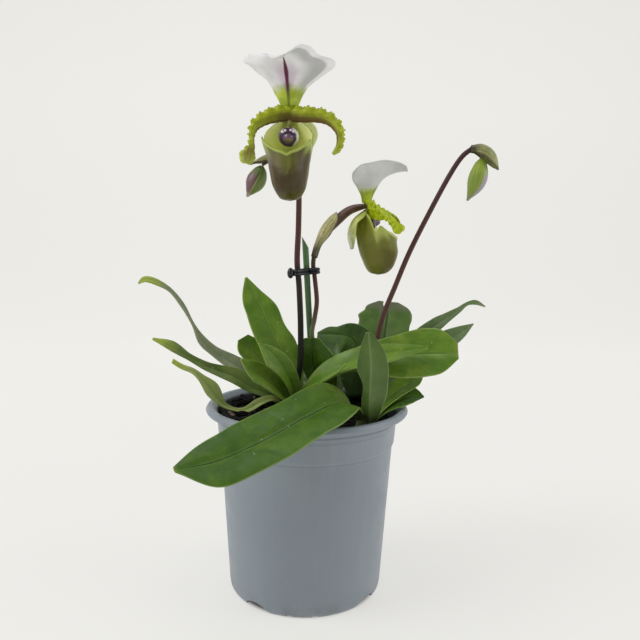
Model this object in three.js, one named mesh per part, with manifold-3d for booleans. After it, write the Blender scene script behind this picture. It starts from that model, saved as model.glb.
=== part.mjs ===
// A slipper orchid in its plastic nursery pot: four growths of strap leaves, two open
// flowers, two buds, a support cane and the clip that ties the stalks to it.
// Millimetres, +Z up. The origin is the centre of the pot's flat base, and the front is -Y.
import * as THREE from "three";
import { mergeVertices } from "three/addons/utils/BufferGeometryUtils.js";
import Module from "manifold-3d";

const wasm = await Module();
wasm.setup();

// ---- driving dimensions ----
const gap = 0.3; // clearance between neighbouring pieces
const pot = { height: 111, rimRadius: 60, baseRadius: 45.5, wall: 1.2, floor: 1.6, sides: 32 };
const soilTop = 99; // height of the bark mix about the growths
const heap = 7.4; // how much higher it lies against the wall behind and to the left
const leafThickness = 0.8;
const petalThickness = 0.7;
const crownFoot = 90; // height of the growths' feet, down in the soil
const sheathRadius = 15; // radius about a growth within which its leaf bases are fitted

// ---- small helpers ----
const vec = (p) => new THREE.Vector3(...p);
const lerp = THREE.MathUtils.lerp;
const clamp = THREE.MathUtils.clamp;
const radians = THREE.MathUtils.degToRad;
const smoothstep = THREE.MathUtils.smoothstep;
const bump = (x, centre, spread) => Math.exp(-(((x - centre) / spread) ** 2));

// Repeatable random numbers from 0 to 1.
function makeRandom(seed) {
  let state = seed;
  return () => {
    state = (state * 1664525 + 1013904223) % 4294967296;
    return state / 4294967296;
  };
}

// A value that runs smoothly through a list of [position, value] pairs.
function along(pairs, t) {
  const last = pairs.length - 1;
  let i = 0;
  while (i < last - 1 && t > pairs[i + 1][0]) i += 1;
  const slope = (k) => {
    const [from, to] = [pairs[Math.max(k - 1, 0)], pairs[Math.min(k + 1, last)]];
    return (to[1] - from[1]) / (to[0] - from[0]);
  };
  const span = pairs[i + 1][0] - pairs[i][0];
  const f = clamp((t - pairs[i][0]) / span, 0, 1);
  const [f2, f3] = [f * f, f * f * f];
  const ends = (2 * f3 - 3 * f2 + 1) * pairs[i][1] + (3 * f2 - 2 * f3) * pairs[i + 1][1];
  return ends + span * ((f3 - 2 * f2 + f) * slope(i) + (f3 - f2) * slope(i + 1));
}

// The same for values at even spacing, and for a list of points or directions.
const through = (stops, t) => along(stops.map((value, i) => [i / (stops.length - 1), value]), t);
const throughPoints = (points, t) => vec([0, 1, 2].map((k) => through(points.map((p) => p[k]), t)));

// A closed geometry becomes a solid, whichever way its faces point.
function solidOf(geometry) {
  const plain = new THREE.BufferGeometry();
  plain.setAttribute("position", geometry.getAttribute("position").clone());
  if (geometry.index) plain.setIndex(geometry.index.clone());
  const merged = mergeVertices(plain, 1e-4);
  const kept = [];
  const index = merged.index.array;
  for (let i = 0; i < index.length; i += 3) {
    const [a, b, c] = [index[i], index[i + 1], index[i + 2]];
    if (a !== b && b !== c && c !== a) kept.push(a, b, c);
  }
  const made = (triangles) =>
    new wasm.Manifold(
      new wasm.Mesh({
        numProp: 3,
        vertProperties: merged.attributes.position.array,
        triVerts: new Uint32Array(triangles),
      }),
    );
  const solid = made(kept);
  return solid.volume() > 0 ? solid : made(kept.reverse());
}

// The largest body of a solid, without the scraps that a cut leaves.
function largest(solid) {
  const bodies = solid.decompose();
  return bodies.reduce((best, body) => (body.volume() > best.volume() ? body : best));
}

// A solid as a named mesh in its own colour.
function meshOf(name, solid, { color, roughness = 0.5 }) {
  const { vertProperties, triVerts } = largest(solid).getMesh();
  const geometry = new THREE.BufferGeometry();
  geometry.setAttribute("position", new THREE.BufferAttribute(vertProperties, 3));
  geometry.setIndex(new THREE.BufferAttribute(triVerts, 1));
  geometry.computeVertexNormals();
  const material = new THREE.MeshStandardMaterial({ color, roughness, metalness: 0 });
  const mesh = new THREE.Mesh(geometry, material);
  mesh.name = name;
  return mesh;
}

// A closed skin over a grid of points: rows[i][j] is one face, and other[i][j] the opposite one.
function sheetSolid(rows, other) {
  const n = rows.length;
  const m = rows[0].length;
  const position = [...rows.flat(), ...other.flat()].flatMap((p) => [p.x, p.y, p.z]);
  const top = (i, j) => i * m + j;
  const under = (i, j) => n * m + i * m + j;
  const index = [];
  const quad = (a, b, c, d) => index.push(a, b, c, a, c, d);
  for (let i = 0; i < n - 1; i += 1) {
    for (let j = 0; j < m - 1; j += 1) {
      quad(top(i, j), top(i + 1, j), top(i + 1, j + 1), top(i, j + 1));
      index.push(under(i, j), under(i + 1, j + 1), under(i + 1, j));
      index.push(under(i, j), under(i, j + 1), under(i + 1, j + 1));
    }
    quad(top(i, 0), under(i, 0), under(i + 1, 0), top(i + 1, 0));
    quad(top(i + 1, m - 1), under(i + 1, m - 1), under(i, m - 1), top(i, m - 1));
  }
  for (let j = 0; j < m - 1; j += 1) {
    quad(top(0, j + 1), under(0, j + 1), under(0, j), top(0, j));
    quad(top(n - 1, j), under(n - 1, j), under(n - 1, j + 1), top(n - 1, j + 1));
  }
  const geometry = new THREE.BufferGeometry();
  geometry.setAttribute("position", new THREE.Float32BufferAttribute(position, 3));
  geometry.setIndex(index);
  return solidOf(geometry);
}

// A sheet of even thickness over rows of points, for leaves, petals and bracts. With `grow`
// it is the sheet's surroundings, which its neighbours are cut by.
function sheet(rows, thickness, grow = 0) {
  const onward = (from, to) => new THREE.Vector3().subVectors(to, from).normalize();
  const away = (from, to) => to.clone().addScaledVector(onward(from, to), grow);
  const n = rows.length - 1;
  const m = rows[0].length - 1;
  const wide = rows.map((row) => row.map((p, j) => {
    if (j === 0) return away(row[1], p);
    return j === m ? away(row[m - 1], p) : p;
  }));
  wide[0] = wide[0].map((p, j) => away(rows[1][j], p));
  wide[n] = wide[n].map((p, j) => away(rows[n - 1][j], p));
  const skin = (offset) =>
    wide.map((row, i) =>
      row.map((p, j) => {
        const [ahead, behind] = [wide[Math.min(i + 1, n)][j], wide[Math.max(i - 1, 0)][j]];
        const forward = new THREE.Vector3().subVectors(ahead, behind);
        const sideways = new THREE.Vector3().subVectors(row[Math.min(j + 1, m)], row[Math.max(j - 1, 0)]);
        return p.clone().addScaledVector(forward.cross(sideways).normalize(), offset);
      }),
    );
  return sheetSolid(skin(-thickness / 2 - grow), skin(thickness / 2 + grow));
}

// The points of a blade along a spine. `face` lists the ways that its upper side looks, from
// base to tip, `half` is the half width at t, `fold` the angles in degrees that both sides are
// raised by, and `rise` a further lift of the point v, from -1 to 1 across the blade. `ease`
// sets the rows closer towards the tip.
function bladeRows({ spine, face, half, fold = [0, 0], rise = () => 0, steps, across = 4, ease = 1.2 }) {
  const curve = new THREE.CatmullRomCurve3(spine.map(vec), false, "catmullrom", 0.5);
  return Array.from({ length: steps + 1 }, (_, i) => {
    const t = 1 - (1 - i / steps) ** ease;
    const point = curve.getPoint(t);
    const tangent = curve.getTangent(t);
    const side = new THREE.Vector3().crossVectors(tangent, throughPoints(face, t)).normalize();
    const normal = new THREE.Vector3().crossVectors(side, tangent);
    const lift = radians(through(fold, t));
    return Array.from({ length: across + 1 }, (_, j) => {
      const v = (2 * j) / across - 1;
      const out = half(t, v) * v * Math.cos(lift);
      const up = half(t, v) * Math.abs(v) * Math.sin(lift) + rise(t, v);
      return point.clone().addScaledVector(side, out).addScaledVector(normal, up);
    });
  });
}

// A round stem along a spine: a lathe shape bent to it, with its radius at t and `ribs`
// ridges, whose depth is the share `ridge` of the radius.
function stem({ spine, radius, steps, sides = 8, ribs = 0, ridge = 0 }, grow = 0) {
  const curve = new THREE.CatmullRomCurve3(spine.map(vec), false, "catmullrom", 0.5);
  const frames = curve.computeFrenetFrames(steps, false);
  const stations = Array.from({ length: steps + 1 }, (_, i) => new THREE.Vector2(1, i));
  const ends = [new THREE.Vector2(0, 0), new THREE.Vector2(0, steps)];
  const geometry = new THREE.LatheGeometry([ends[0], ...stations, ends[1]], sides);
  const position = geometry.getAttribute("position");
  for (let k = 0; k < position.count; k += 1) {
    const [x, y, z] = [position.getX(k), position.getY(k), position.getZ(k)];
    const i = Math.round(y);
    const groove = (ridge * (1 - Math.cos(ribs * Math.atan2(z, x)))) / 2;
    const r = radius(i / steps) * (1 - groove) + grow;
    const p = curve.getPointAt(i / steps);
    p.addScaledVector(frames.normals[i], r * x).addScaledVector(frames.binormals[i], r * z);
    if (i === 0) p.addScaledVector(frames.tangents[i], -grow);
    if (i === steps) p.addScaledVector(frames.tangents[i], grow);
    position.setXYZ(k, p.x, p.y, p.z);
  }
  return solidOf(geometry);
}

// A profile of [radius, height] points turned about the Z axis.
function turned(profile, sides) {
  const points = profile.map(([r, z]) => new THREE.Vector2(r, z));
  return solidOf(new THREE.LatheGeometry(points, sides).rotateX(Math.PI / 2));
}

// ---- pot ----
// A thin shell with a rolled lip, a collar under it, scallops that lift the wall off the
// ground to drain, and small slots between them.
const scallop = { count: 4, first: -38, halfWidth: 8.5, height: 4.6 };
const slot = { turns: [-11, 8], width: 3.2, height: 1.8 };
const wallProfile = [[2, 45.2], [5, 45.7], [88, 51.1], [90.5, 52.2], [103, 53.2]];
const innerRadius = (z) => {
  const i = Math.max(1, wallProfile.findIndex(([height]) => height >= z));
  const [[z0, r0], [z1, r1]] = [wallProfile[i - 1], wallProfile[i]];
  return lerp(r0, r1, (z - z0) / (z1 - z0)) - pot.wall;
};

function makePot() {
  const { height, rimRadius, baseRadius, wall, floor } = pot;
  const outer = [[baseRadius - 2, 0], ...wallProfile.map(([z, r]) => [r, z])];
  const lip = [
    [54.6, 103.8], [55.2, 106.8], [rimRadius - 0.9, 107.1], [rimRadius, 108.7],
    [rimRadius - 1.4, height], [rimRadius - 3.8, height], [53.4, height - 2.6],
  ];
  const inner = [103, 90.5, 88, 5].map((z) => [innerRadius(z), z]);
  const profile = [[0, 0], ...outer, ...lip, ...inner, [baseRadius - wall - 1, floor], [0, floor]];
  let shell = turned(profile, pot.sides);
  for (let i = 0; i < scallop.count; i += 1) {
    const quarter = (360 / scallop.count) * i;
    const arch = new THREE.CylinderGeometry(1, 1, 12, 12).scale(scallop.halfWidth, 1, scallop.height);
    const turn = radians(scallop.first + quarter);
    shell = shell.subtract(solidOf(arch.translate(0, -baseRadius - 0.5, 0).rotateZ(turn)));
    for (const offset of slot.turns) {
      const cut = new THREE.BoxGeometry(slot.width, 8, 2 * slot.height).translate(0, 2 - baseRadius, 0);
      shell = shell.subtract(solidOf(cut.rotateZ(radians(offset + quarter))));
    }
  }
  return shell;
}

// ---- growths ----
// Each growth is a short crown that stands in a plain hole in the soil.
const crowns = {
  left: { at: [-7, -1], top: 117 },
  middle: { at: [14, 15], top: 115 },
  right: { at: [41, 17], top: 117 },
  front: { at: [33, -21], top: 112 },
};
const crownProfile = { foot: 4.6, shoulder: 6, waist: 5.4, tip: 4 };

function makeCrown({ at: [x, y], top }, grow = 0) {
  const { foot, shoulder, waist, tip } = crownProfile;
  const profile = [
    [0, crownFoot - grow], [foot + grow, crownFoot - grow], [shoulder + grow, soilTop - 2],
    [waist + grow, soilTop + 6], [tip + grow, top + grow], [0, top + grow],
  ];
  return turned(profile, 12).translate([x, y, 0]);
}

// Leaves, growth by growth. `face` is the way the upper side looks, `wave` the height of the
// margin's waves and `waves` their number. `left` and `right` are the outline: the shares of
// half the width on both sides of the midrib, evenly spaced from foot to tip.
const leaves = [
  { name: "leaf_tall", crown: "left", width: 24, wave: 0.6, waves: 1.5,
    left: [0.34, 0.7, 0.9, 0.95, 0.95, 0.86, 0.68, 0.05],
    right: [0.34, 0.5, 0.65, 0.95, 0.82, 0.8, 0.4, 0.05],
    spine: [[-8, 1, 113], [-10, 4, 130], [-20.5, 8, 148], [-29.6, 14, 167], [-38.6, 20, 184.5]],
    face: [[0.8, -1, 0.5], [0.3, -1, 0.5], [0.1, -1, 0.7]], fold: [30, 14, 8] },
  { name: "leaf_tall_behind", crown: "left", width: 17, wave: 0.4, waves: 1,
    left: [0.4, 0.7, 0.9, 1, 1.05, 1.1, 1.05, 0.65], right: [0.4, 0.7, 0.9, 1, 1, 0.9, 0.7, 0.3],
    spine: [[-9, 2, 110], [-16, 6, 120], [-25, 10, 131], [-34, 13, 141], [-39, 14, 148.6]],
    face: [[0.5, -1, 0.8], [0.3, -1, 0.7]], fold: [26, 12, 8] },
  { name: "leaf_left_front", crown: "left", width: 17, wave: 0.3, waves: 1,
    left: [0.4, 0.6, 0.7, 0.75, 0.82, 0.8, 0.5, 0.03], right: [0.4, 0.7, 0.95, 1, 0.95, 0.8, 0.5, 0.03],
    spine: [[-9, -4, 110], [-15, -9, 118], [-22, -13, 126], [-30, -16, 133], [-38, -18, 140]],
    face: [[0.5, -0.6, 1], [0.3, -1, 0.8]], fold: [24, 12, 6] },
  { name: "leaf_left_narrow", crown: "left", width: 15, wave: 0, waves: 1,
    left: [0.4, 0.6, 0.7, 0.85, 1.1, 1.25, 0.85, 0.04],
    right: [0.4, 0.7, 0.8, 0.85, 0.8, 0.6, 0.35, 0.04],
    spine: [[-7, -4, 114], [-10, -8, 125], [-15, -11, 135], [-21, -13, 143], [-28, -16, 149]],
    face: [[0.8, -1, 0.4], [0.4, -1, 0.7]], fold: [30, 18, 14] },
  { name: "leaf_left_long", crown: "left", width: 12, wave: 0.5, waves: 2,
    left: [0.5, 0.65, 0.75, 0.8, 0.65, 0.55, 0.4, 0.5, 0.15],
    right: [0.5, 0.8, 1, 1, 0.7, 0.4, 0.35, 0.7, 0.15],
    spine: [[-11, -1, 107], [-23, -2, 116], [-33, -2, 120.6], [-42, -2, 126], [-51, -2, 129.4],
      [-60, -3, 133.4], [-70, -4, 138.9], [-80, -6, 145], [-90, -8, 149.6]],
    face: [[0.3, -0.7, 1], [0.1, -1, 0.7], [0.2, -0.6, 1]], fold: [24, 16, 10] },
  { name: "leaf_left_drooping", crown: "left", width: 9, wave: 0.3, waves: 2,
    left: [0.5, 0.6, 0.6, 0.3, 0.5, 1, 0.4, 0.3, 0.35],
    right: [0.5, 0.6, 0.6, 0.25, 0.4, 1.05, 0.5, 0.4, 0.35],
    spine: [[-9, -5, 107], [-19, -9, 114.6], [-27, -11, 113.6], [-35, -14, 109.8], [-42, -16, 110.6],
      [-48, -18, 114], [-53, -20, 121], [-58, -21, 127.4], [-64, -22, 133.2], [-70, -24, 136.3],
      [-75, -26, 140]],
    face: [[0, 0, 1], [0.3, -0.7, 1], [0.5, -0.9, 0.5], [0.4, -0.9, 0.5], [0, -0.7, 1]],
    fold: [20, 16, 10] },
  { name: "leaf_centre_narrow", crown: "left", width: 9, wave: 0, waves: 1,
    left: [0.5, 0.8, 0.9, 0.9, 0.8, 0.6, 0.4, 0.03],
    spine: [[-5, -5, 112], [2, -11, 123], [9, -16, 129.4], [15, -19, 133.6], [21.5, -21, 138.4]],
    face: [[-0.3, -0.6, 1], [-0.2, -1, 0.8]], fold: [28, 18, 12] },
  { name: "leaf_centre_long", crown: "left", width: 15, wave: 0.4, waves: 2,
    left: [0.36, 0.7, 0.95, 1, 0.95, 0.8, 0.5, 0.1], right: [0.36, 0.7, 0.95, 1, 1.1, 1.1, 0.6, 0.1],
    spine: [[-3, -3, 115], [11, -9, 131], [29, -14, 140], [48, -17, 145], [68, -19, 148]],
    face: [[-0.4, -0.7, 1], [0, -0.9, 0.9]], fold: [26, 16, 12] },
  { name: "leaf_big_right", crown: "left", width: 28, wave: 0.6, waves: 2,
    left: [0.3, 0.35, 0.5, 0.45, 0.7, 0.86, 1.1, 0.5], right: [0.3, 0.3, 0.3, 0.45, 0.85, 1.1, 1.08, 0.33],
    spine: [[-3, -2, 108], [5, -6, 123.6], [22, -8.5, 136.3], [41, -9, 140.3], [62, -9, 143],
      [87, -12, 144]],
    face: [[-0.5, -0.7, 0.9], [-0.3, -1, 0.6], [0, -1, 0.7]], fold: [24, 12, 6] },
  { name: "leaf_curl", crown: "left", width: 11, wave: 0, waves: 1,
    left: [0.5, 0.8, 1, 1, 0.65, 0.8, 0.25, 0.45, 0.35, 0.62, 0.5, 0.06],
    right: [0.5, 0.8, 1, 1, 0.8, 0.66, 0.25, 0.45, 0.35, 0.4, 0.4, 0.06],
    spine: [[-9, 1, 106], [-21, 6, 117], [-33, 9, 126], [-46, 11, 132.6], [-57, 12, 138.6],
      [-65, 13, 146], [-70.6, 13, 156.4], [-76.8, 14, 167], [-83.8, 14, 176], [-91.5, 13, 181.2],
      [-98, 11, 183], [-102, 9, 180.6]],
    face: [[0, 0, 1], [0.2, -0.7, 0.7], [0.7, -0.6, 0.6], [1, -0.3, 0.5], [0.6, -0.5, 0.8],
      [-0.1, -0.7, 1]],
    fold: [18, 10, 8] },
  { name: "leaf_middle_upright", crown: "middle", width: 19, wave: 0, waves: 1,
    left: [0.4, 0.6, 0.7, 0.7, 0.75, 0.8, 0.8, 0.5], right: [0.4, 0.7, 1, 1.2, 1.3, 1.25, 1, 0.5],
    spine: [[13, 13, 110], [9, 9, 120.6], [3.6, 5, 131.6], [2.6, 2, 141.2], [2.4, 0.6, 150.4]],
    face: [[-0.2, -1, 0.2], [-0.1, -1, 0.3]], fold: [30, 22, 16] },
  { name: "leaf_middle_back", crown: "right", width: 24, wave: 0.8, waves: 2,
    left: [0.36, 0.7, 1, 0.95, 0.85, 0.85, 0.5, 0.2], right: [0.36, 0.7, 0.95, 1, 0.7, 0.42, 0.38, 0.1],
    spine: [[36, 20, 110], [34, 24, 133], [28.2, 28, 146.4], [17.2, 31, 148.6], [6, 33, 148]],
    face: [[-0.5, -1, 0.6], [-0.3, -1, 0.6]], fold: [20, 10, 6] },
  { name: "leaf_right_broad", crown: "right", width: 32, wave: 0.8, waves: 2,
    left: [0.34, 0.7, 1.2, 1.3, 1.2, 1.02, 0.9, 0.2], right: [0.34, 0.6, 0.85, 1, 1, 0.95, 0.9, 0.55],
    spine: [[42, 21, 112], [47, 29, 128], [49, 35, 143], [51, 38, 157], [52, 40, 169]],
    face: [[-0.2, -1, 0.4], [-0.1, -1, 0.3], [0, -1, 0.5]], fold: [26, 12, 6] },
  { name: "leaf_right_thin", crown: "right", width: 14, wave: 0, waves: 1,
    left: [0.4, 0.7, 0.75, 0.67, 0.45, 0.28, 0.17, 0.27, 0.04],
    right: [0.4, 0.5, 0.5, 0.64, 0.45, 0.28, 0.17, 0.27, 0.04],
    spine: [[45, 18, 109], [54, 23, 127], [68.4, 27, 145], [81.2, 30, 155], [89, 32, 160],
      [96.6, 35, 164.4], [103, 38, 168.4], [109, 39, 169.2], [115, 39, 166.8]],
    face: [[-0.6, -0.8, 0.6], [-0.4, -1, 0.3], [-0.2, -0.6, 1]], fold: [26, 12, 8] },
  { name: "leaf_right_short", crown: "right", width: 14, wave: 0, waves: 1,
    left: [0.4, 0.7, 0.95, 1, 1.2, 1.05, 0.6, 0.04], right: [0.4, 0.7, 0.95, 1, 0.95, 0.85, 0.6, 0.04],
    spine: [[46, 15, 107], [58, 15, 122], [73, 16, 136], [89, 19, 148], [104, 24, 157]],
    face: [[-0.4, -0.8, 0.8], [-0.3, -1, 0.5]], fold: [26, 14, 10] },
  { name: "leaf_front_upright", crown: "front", width: 19, wave: 0, waves: 1,
    left: [0.6, 0.7, 0.85, 1.1, 1.12, 1.08, 0.85, 0.15],
    right: [0.6, 0.6, 0.5, 0.45, 0.42, 0.82, 0.64, 0.15],
    spine: [[34, -25, 104], [34, -33, 113], [33.6, -39, 126], [33.7, -42, 142], [32, -41, 159.5]],
    face: [[0.1, 1, 0.3], [0, 1, 0], [0, 1, -0.1]], fold: [34, 22, 16] },
  { name: "leaf_right_low", crown: "front", width: 17, wave: 0, waves: 1,
    left: [0.4, 0.7, 0.8, 0.8, 0.8, 0.7, 0.5, 0.03], right: [0.4, 0.5, 0.55, 0.55, 0.55, 0.57, 0.5, 0.03],
    spine: [[36, -19, 106], [42.7, -14, 113.4], [51.6, -7, 119], [61.2, -1, 124], [70, 3, 129.4]],
    face: [[-0.3, -0.8, 0.8], [-0.4, -1, 0.4]], fold: [26, 14, 8] },
  { name: "leaf_right_lowest", crown: "front", width: 16, wave: 0.5, waves: 1,
    left: [0.4, 0.7, 0.95, 1, 1, 1, 0.7, 0.04], right: [0.4, 0.6, 0.8, 0.85, 0.75, 0.6, 0.35, 0.04],
    spine: [[37, -17.6, 105.4], [46, -13, 112], [55, -9, 115.4], [62, -7, 117], [69, -5.6, 116.6]],
    face: [[-0.2, -0.5, 1], [-0.2, -0.8, 1]], fold: [22, 12, 6] },
  { name: "leaf_front_large", crown: "front", width: 31, wave: 0.7, waves: 2,
    left: [0.34, 0.7, 1.15, 1.15, 1.1, 1, 0.9, 0.1], right: [0.34, 1, 1.1, 1, 1, 0.92, 0.7, 0.1],
    spine: [[29, -23, 107], [18, -34, 119], [0, -55, 117], [-20, -74, 110.4], [-41, -90, 104.8],
      [-59, -102, 104.2]],
    face: [[0, -0.2, 1], [0, -0.6, 1], [0.1, -0.8, 1]], fold: [24, 8, 4] },
  { name: "leaf_back_left", crown: "middle", width: 24, wave: 0.8, waves: 2,
    left: [0.36, 0.6, 0.85, 1, 1, 0.9, 0.6, 0.1],
    spine: [[11, 18, 105], [2, 31, 115], [-10, 46, 118], [-24, 62, 117], [-38, 76, 110]],
    face: [[0, 0, 1], [0, 0.1, 1]], fold: [24, 10, 6] },
  { name: "leaf_back_right", crown: "middle", width: 22, wave: 0.6, waves: 2,
    left: [0.36, 0.6, 0.85, 1, 1, 0.9, 0.6, 0.1],
    spine: [[16, 19, 109], [19, 32, 120], [23, 46, 126], [28, 61, 126], [35, 76, 119]],
    face: [[0, 0, 1], [0, 0.1, 1]], fold: [24, 10, 6] },
  { name: "leaf_back_far_right", crown: "right", width: 20, wave: 0.5, waves: 2,
    left: [0.36, 0.6, 0.85, 1, 0.95, 0.8, 0.5, 0.05],
    spine: [[45, 21, 106], [54, 31, 118], [65, 42, 123], [77, 52, 122], [89, 60, 116]],
    face: [[0, 0, 1], [0, 0, 1]], fold: [22, 10, 6] },
  { name: "leaf_back_upright", crown: "middle", width: 16, wave: 0.3, waves: 1,
    left: [0.36, 0.6, 0.85, 1, 0.9, 0.7, 0.4, 0.04],
    spine: [[13, 18, 112], [8, 27, 124], [2, 36, 132], [-4, 44, 137], [-12, 52, 138]],
    face: [[0.3, -0.4, 1], [0.2, -0.3, 1]], fold: [28, 14, 8] },
];

// A strap leaf, with a side of the midrib each for both its outlines.
function leafRows({ spine, face, fold, width, wave, waves, left, right = left }) {
  return bladeRows({
    spine, face, fold,
    half: (t, v) => Math.max(0.5, (width / 2) * through(v < 0 ? left : right, t)),
    rise: (t, v) => wave * Math.sin(2 * Math.PI * waves * t + (v > 0 ? 0 : 1.3)) * v * v,
    steps: spine.length > 6 ? 12 : 8,
  });
}

// A growth's leaves clasp it one over another: each is cut clear of its crown and stalk, and
// near the crown also clear of the leaves already set.
function makeLeaves() {
  const made = {};
  const set = [];
  for (const leaf of leaves) {
    const rows = leafRows(leaf);
    const crown = crowns[leaf.crown];
    const around = new THREE.CylinderGeometry(sheathRadius, sheathRadius, 40, 10);
    const sheath = solidOf(around.rotateX(Math.PI / 2));
    const zone = sheath.translate([crown.at[0], crown.at[1], soilTop + 14]);
    let solid = sheet(rows, leafThickness).subtract(makeCrown(crown, gap));
    for (const { crown: grower, ...stalk } of Object.values(stalks)) {
      if (grower === leaf.crown) solid = solid.subtract(stem(stalk, gap).intersect(zone));
    }
    for (const other of set) {
      if (other.crown === leaf.crown) solid = solid.subtract(other.around.intersect(zone));
    }
    made[leaf.name] = largest(solid);
    set.push({ crown: leaf.crown, around: sheet(rows, leafThickness, gap) });
  }
  return made;
}

// ---- flower stalks, cane and clip ----
const stalks = {
  scape_main: { crown: "left", steps: 14, radius: (t) => lerp(1.8, 1.55, t),
    spine: [[-7, -1, 117.4], [-4.4, -2.5, 136], [-4.4, -3.2, 158], [-5.6, -4, 181],
      [-6.9, -4.6, 196], [-6.3, -6.5, 215], [-6.2, -10, 236], [-7.2, -15, 252]] },
  scape_side: { crown: "middle", steps: 17, radius: (t) => lerp(1.45, 1.3, t),
    spine: [[14, 15, 115.4], [13.4, 14.2, 121], [7, 8.4, 136], [2.4, 3.8, 151], [3.8, 3.2, 162],
      [4.9, 2.6, 172], [3.6, 2.2, 185], [2.5, 2.2, 194], [3.6, 3.4, 201], [6, 6, 206.6]] },
  scape_bud: { crown: "right", steps: 17, radius: (t) => lerp(1.65, 1.45, t),
    spine: [[41, 17, 117.4], [41.6, 16, 135], [45, 14.6, 159], [52.7, 13, 181], [60.5, 10.4, 202],
      [70.5, 8, 224], [81.5, 8, 245.6], [89, 8, 257.6], [95.4, 8, 263]] },
};
const cane = { radius: 1.8, foot: [5.2, 14, crownFoot], top: [-2.6, 0.8, 210], slant: 59 };
const caneStem = { spine: [cane.foot, cane.top], radius: () => cane.radius, steps: 2 };

// The cane's top is cut on the slant, and its point is towards the main stalk.
function makeCane() {
  const slant = new THREE.BoxGeometry(40, 40, 40).translate(20, 0, 20).rotateY(radians(cane.slant));
  const [x, y, z] = cane.top;
  return stem(caneStem).subtract(solidOf(slant.translate(x - cane.radius, y, z)));
}

// The clip: an eye that grips the main stalk, an arm with an eye for the cane and the side
// stalk, and a knob to squeeze.
const clip = {
  height: 189.6, tilt: 4.5, thick: 2.8, wall: 1.3,
  stalk: [-6.4, -4.3], cane: [-1.2, 2.8], side: [3.1, 2.2], knob: [-10.6, -7],
};

// An outline with round ends about two points.
function capsule(from, to, radius) {
  const turn = Math.atan2(to[1] - from[1], to[0] - from[0]);
  const shape = new THREE.Shape();
  shape.absarc(to[0], to[1], radius, turn - Math.PI / 2, turn + Math.PI / 2, false);
  shape.absarc(from[0], from[1], radius, turn + Math.PI / 2, turn + 1.5 * Math.PI, false);
  return shape;
}

function makeClip(threaded) {
  const { height, tilt, thick, wall, stalk, cane: caneEye, side, knob } = clip;
  const plate = (from, to, radius, depth) => {
    const options = { depth, bevelEnabled: false, curveSegments: 4 };
    const body = new THREE.ExtrudeGeometry(capsule(from, to, radius), options);
    return solidOf(body.translate(0, 0, -depth / 2));
  };
  const disc = new THREE.SphereGeometry(1, 8, 6).scale(1.9, 2.2, 3.1).translate(...knob, 0);
  const body = plate(stalk, caneEye, 2 + wall, thick)
    .add(plate(caneEye, side, 1.7 + wall, thick))
    .add(plate(stalk, knob, 1.5, thick * 1.2))
    .add(solidOf(disc))
    .rotate([0, -tilt, 0])
    .translate([0, 0, height]);
  return threaded.reduce((left, piece) => left.subtract(stem(piece, gap)), body);
}

// ---- soil ----
// Bark mix: a gently uneven top with chips that stand out of it.
const chips = { count: 22, reach: 45, seed: 41 };
function soilHeight(x, y) {
  const out = Math.hypot(x, y);
  const slope = smoothstep(out, 24, 48) * smoothstep((y - x) / (out + 1), -0.9, 0.3);
  return soilTop + heap * slope + 1.2 * Math.sin(0.21 * x + 1) * Math.cos(0.17 * y);
}

function makeSoil(holes) {
  const wallOf = (z) => innerRadius(z) - gap;
  const rings = [wallOf(97), 46, 39, 31, 22, 11, 0].map((r) => [r, soilTop]);
  const floor = pot.floor + gap;
  const profile = [[0, floor], [40, floor], [wallOf(6) - 0.6, 6], [wallOf(88) - 0.2, 87],
    [wallOf(97), 96.4], ...rings];
  const points = profile.map(([r, z]) => new THREE.Vector2(r, z));
  const geometry = new THREE.LatheGeometry(points, pot.sides / 2).rotateX(Math.PI / 2);
  const position = geometry.getAttribute("position");
  for (let i = 0; i < position.count; i += 1) {
    const [x, y, z] = [position.getX(i), position.getY(i), position.getZ(i)];
    if (z === soilTop) position.setZ(i, soilHeight(x, y));
  }
  let soil = solidOf(geometry);
  const random = makeRandom(chips.seed);
  for (let i = 0; i < chips.count; i += 1) {
    const reach = chips.reach * Math.sqrt(random());
    const turn = 2 * Math.PI * random();
    const [x, y] = [reach * Math.cos(turn), reach * Math.sin(turn)];
    const chip = new THREE.BoxGeometry(5 + 6 * random(), 3 + 3 * random(), 2 + 1.6 * random())
      .rotateX(0.7 * (random() - 0.5))
      .rotateY(0.7 * (random() - 0.5))
      .rotateZ(Math.PI * random())
      .translate(x, y, soilHeight(x, y) + 0.6);
    soil = soil.add(solidOf(chip));
  }
  return holes.reduce((left, hole) => left.subtract(hole), soil);
}

// ---- flowers ----
// A flower is built about the top of its ovary, looking along -Y, and then turned and placed.
const receptacle = 2;
const centre = (grow) => solidOf(new THREE.SphereGeometry(receptacle + grow, 8, 6));

// The dorsal sepal is a broad heart-shaped hood between its midrib and its two margins. The
// sides sweep back and up from the midrib, which arches forward to the point.
const dorsal = {
  midrib: [[0, -2.4, 1.6], [0, -3.8, 6.4], [0, -6.6, 11.6], [0, -9.6, 15.6], [0, -13.4, 18.6],
    [0, -17.6, 20.4], [0, -21.6, 21.2], [0, -25.6, 21.3]],
  steps: 13, across: 8,
};

function dorsalRows(margins) {
  const { midrib, steps, across } = dorsal;
  return Array.from({ length: steps + 1 }, (_, i) => {
    const middle = throughPoints(midrib, i / steps);
    return Array.from({ length: across + 1 }, (_, j) => {
      const v = (2 * j) / across - 1;
      const edge = throughPoints(v < 0 ? margins.left : margins.right, i / steps);
      const reach = Math.abs(v);
      const height = lerp(middle.z, edge.z, reach ** 1.25);
      return new THREE.Vector3(edge.x * v, lerp(middle.y, edge.y, reach ** 1.5), height);
    });
  });
}

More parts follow.
